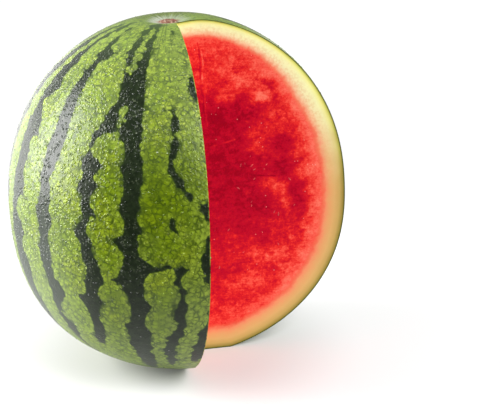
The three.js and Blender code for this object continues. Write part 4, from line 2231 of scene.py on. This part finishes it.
class Studio:
    """The white surroundings: the floor, the lamps and the light that the room gives.

    Attributes:
        front_to_back: how bright the room is in front of the fruit and behind it.
        low_walls, ceiling, dim_left: what becomes of that low down, overhead and on the left.
        seen_white: how bright the room looks where the camera sees it directly.
        floor_half, floor_grey: half the floor's width in metres, and its colour.
        glow_near, glow_more: its own light, kept low beside the fruit as painted shade, and what
            comes further away.
        glow_away, fade_away: how far out the glow grows and the floor fades, in metres.
        middle: what the lamps are aimed at.
    """

    front_to_back = (0.08, 1.30)
    low_walls, ceiling, dim_left = 0.20, 0.40, 0.55
    seen_white = 1.05
    floor_half, floor_grey = 0.6, 0.58
    glow_near, glow_more = 0.07, 0.17
    glow_away, fade_away = (0.06, 0.14), (0.10, 0.42)
    middle = Vector((0.0, 0.0, 0.12))
    lamps = (
        Softbox("lamp_left", -105.0, 17.0, 1.3, 0.86, 1.00, 49.0),
        Softbox("lamp_right", 40.0, 38.0, 1.6, 1.2, 1.0, 41.0),
        Softbox("lamp_limb", -150.0, -4.0, 1.4, 1.7, 0.6, 8.5),
    )

    def set_up(self) -> None:
        """Makes the floor, the lamps and the room's light."""
        bpy.context.scene.view_settings.view_transform = "Standard"
        for lamp in self.lamps:
            lamp.set_up(self.middle)
        self.room()
        self.floor()

    def room(self) -> None:
        """White walls behind the fruit and a dimmer room in front of it."""
        world = bpy.data.worlds.new("Room")
        bpy.context.scene.world = world
        world.use_nodes = True
        world.node_tree.nodes.clear()
        sheet = NodeSheet(world.node_tree)
        seen = sheet.made("ShaderNodeTexCoord", key="Generated")
        x, y, up = sheet.parts(seen)
        back = sheet.rise(y - x * 0.35, -0.5, 0.6)
        strength = sheet.between(back, *self.front_to_back)
        strength = strength * sheet.between(sheet.rise(up, -0.25, 0.05), self.low_walls, 1.0)
        strength = strength * sheet.between(sheet.rise(up, 0.30, 0.85), 1.0, self.ceiling)
        left = self.dim_left * sheet.rise(-x, 0.15, 0.40) * sheet.rise(up, 0.02, 0.18)
        strength = strength * (1.0 - left)
        direct = sheet.made("ShaderNodeLightPath", key="Is Camera Ray") * self.seen_white
        strength = sheet.math("MAXIMUM", strength, direct)
        plugs = {"Color": (1.0, 1.0, 1.0, 1.0), "Strength": strength}
        light = sheet.made("ShaderNodeBackground", plugs)
        sheet.add("ShaderNodeOutputWorld", {"Surface": light})

    def floor(self) -> None:
        """A white floor with its own glow, dimmer beside the fruit as painted shade, fading into
        the white room some way off.
        """
        half = self.floor_half
        mesh = bpy.data.meshes.new("floor")
        corners = [(-half, -half, 0), (half, -half, 0), (half, half, 0), (-half, half, 0)]
        mesh.from_pydata(corners, [], [(0, 1, 2, 3)])
        floor = placed("floor", mesh)
        material, sheet, shader = plain_material("white_floor")
        x, y, _ = sheet.parts(sheet.place())
        away = (x * x + y * y) ** 0.5
        # The floor's own glow is kept low beside the fruit, which paints shade round its foot.
        glow = self.glow_near + self.glow_more * sheet.rise(away, *self.glow_away)
        plugs = {
            "Base Color": (*[self.floor_grey] * 3, 1.0),
            "Roughness": 0.6,
            "Specular IOR Level": 0.2,
            "Emission Color": (1.0, 1.0, 1.0, 1.0),
            "Emission Strength": glow,
            "Alpha": sheet.fall(away, *self.fade_away),
        }
        sheet.fill(shader, plugs)
        mesh.materials.append(material)
        floor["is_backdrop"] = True


def plain_material(name: str) -> tuple[bpy.types.Material, NodeSheet, bpy.types.Node]:
    """A material with one Principled shader.

    Args:
        name: the material's name.

    Returns:
        The material, its tree as a sheet, and the shader.
    """
    material = bpy.data.materials.new(name)
    material.use_nodes = True
    material.node_tree.nodes.clear()
    sheet = NodeSheet(material.node_tree)
    shader = sheet.add("ShaderNodeBsdfPrincipled")
    sheet.add("ShaderNodeOutputMaterial", {"Surface": sheet.out(shader)})
    return material, sheet, shader


def main() -> None:
    """Builds the fruit and its surroundings, and reports each piece."""
    logging.basicConfig(level=logging.INFO, format="%(name)s: %(message)s")
    Viewpoint().set_up()
    Studio().set_up()
    fruit = CutFruit()
    body = fruit.build()
    pieces = [body, WaterDrops().build(body), SeedCoats().build(fruit.sizes)]
    pieces.append(StemScar().build(fruit.sizes))
    for piece in pieces:
        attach(piece, BODY)
        LOG.info("%s: %d faces", piece.name, len(piece.data.polygons))
    low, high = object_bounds()
    boxes = {"cad": [list(CAD_BOX[0]), list(CAD_BOX[1])], "visual": [list(low), list(high)]}


if __name__ == "__main__":
    main()
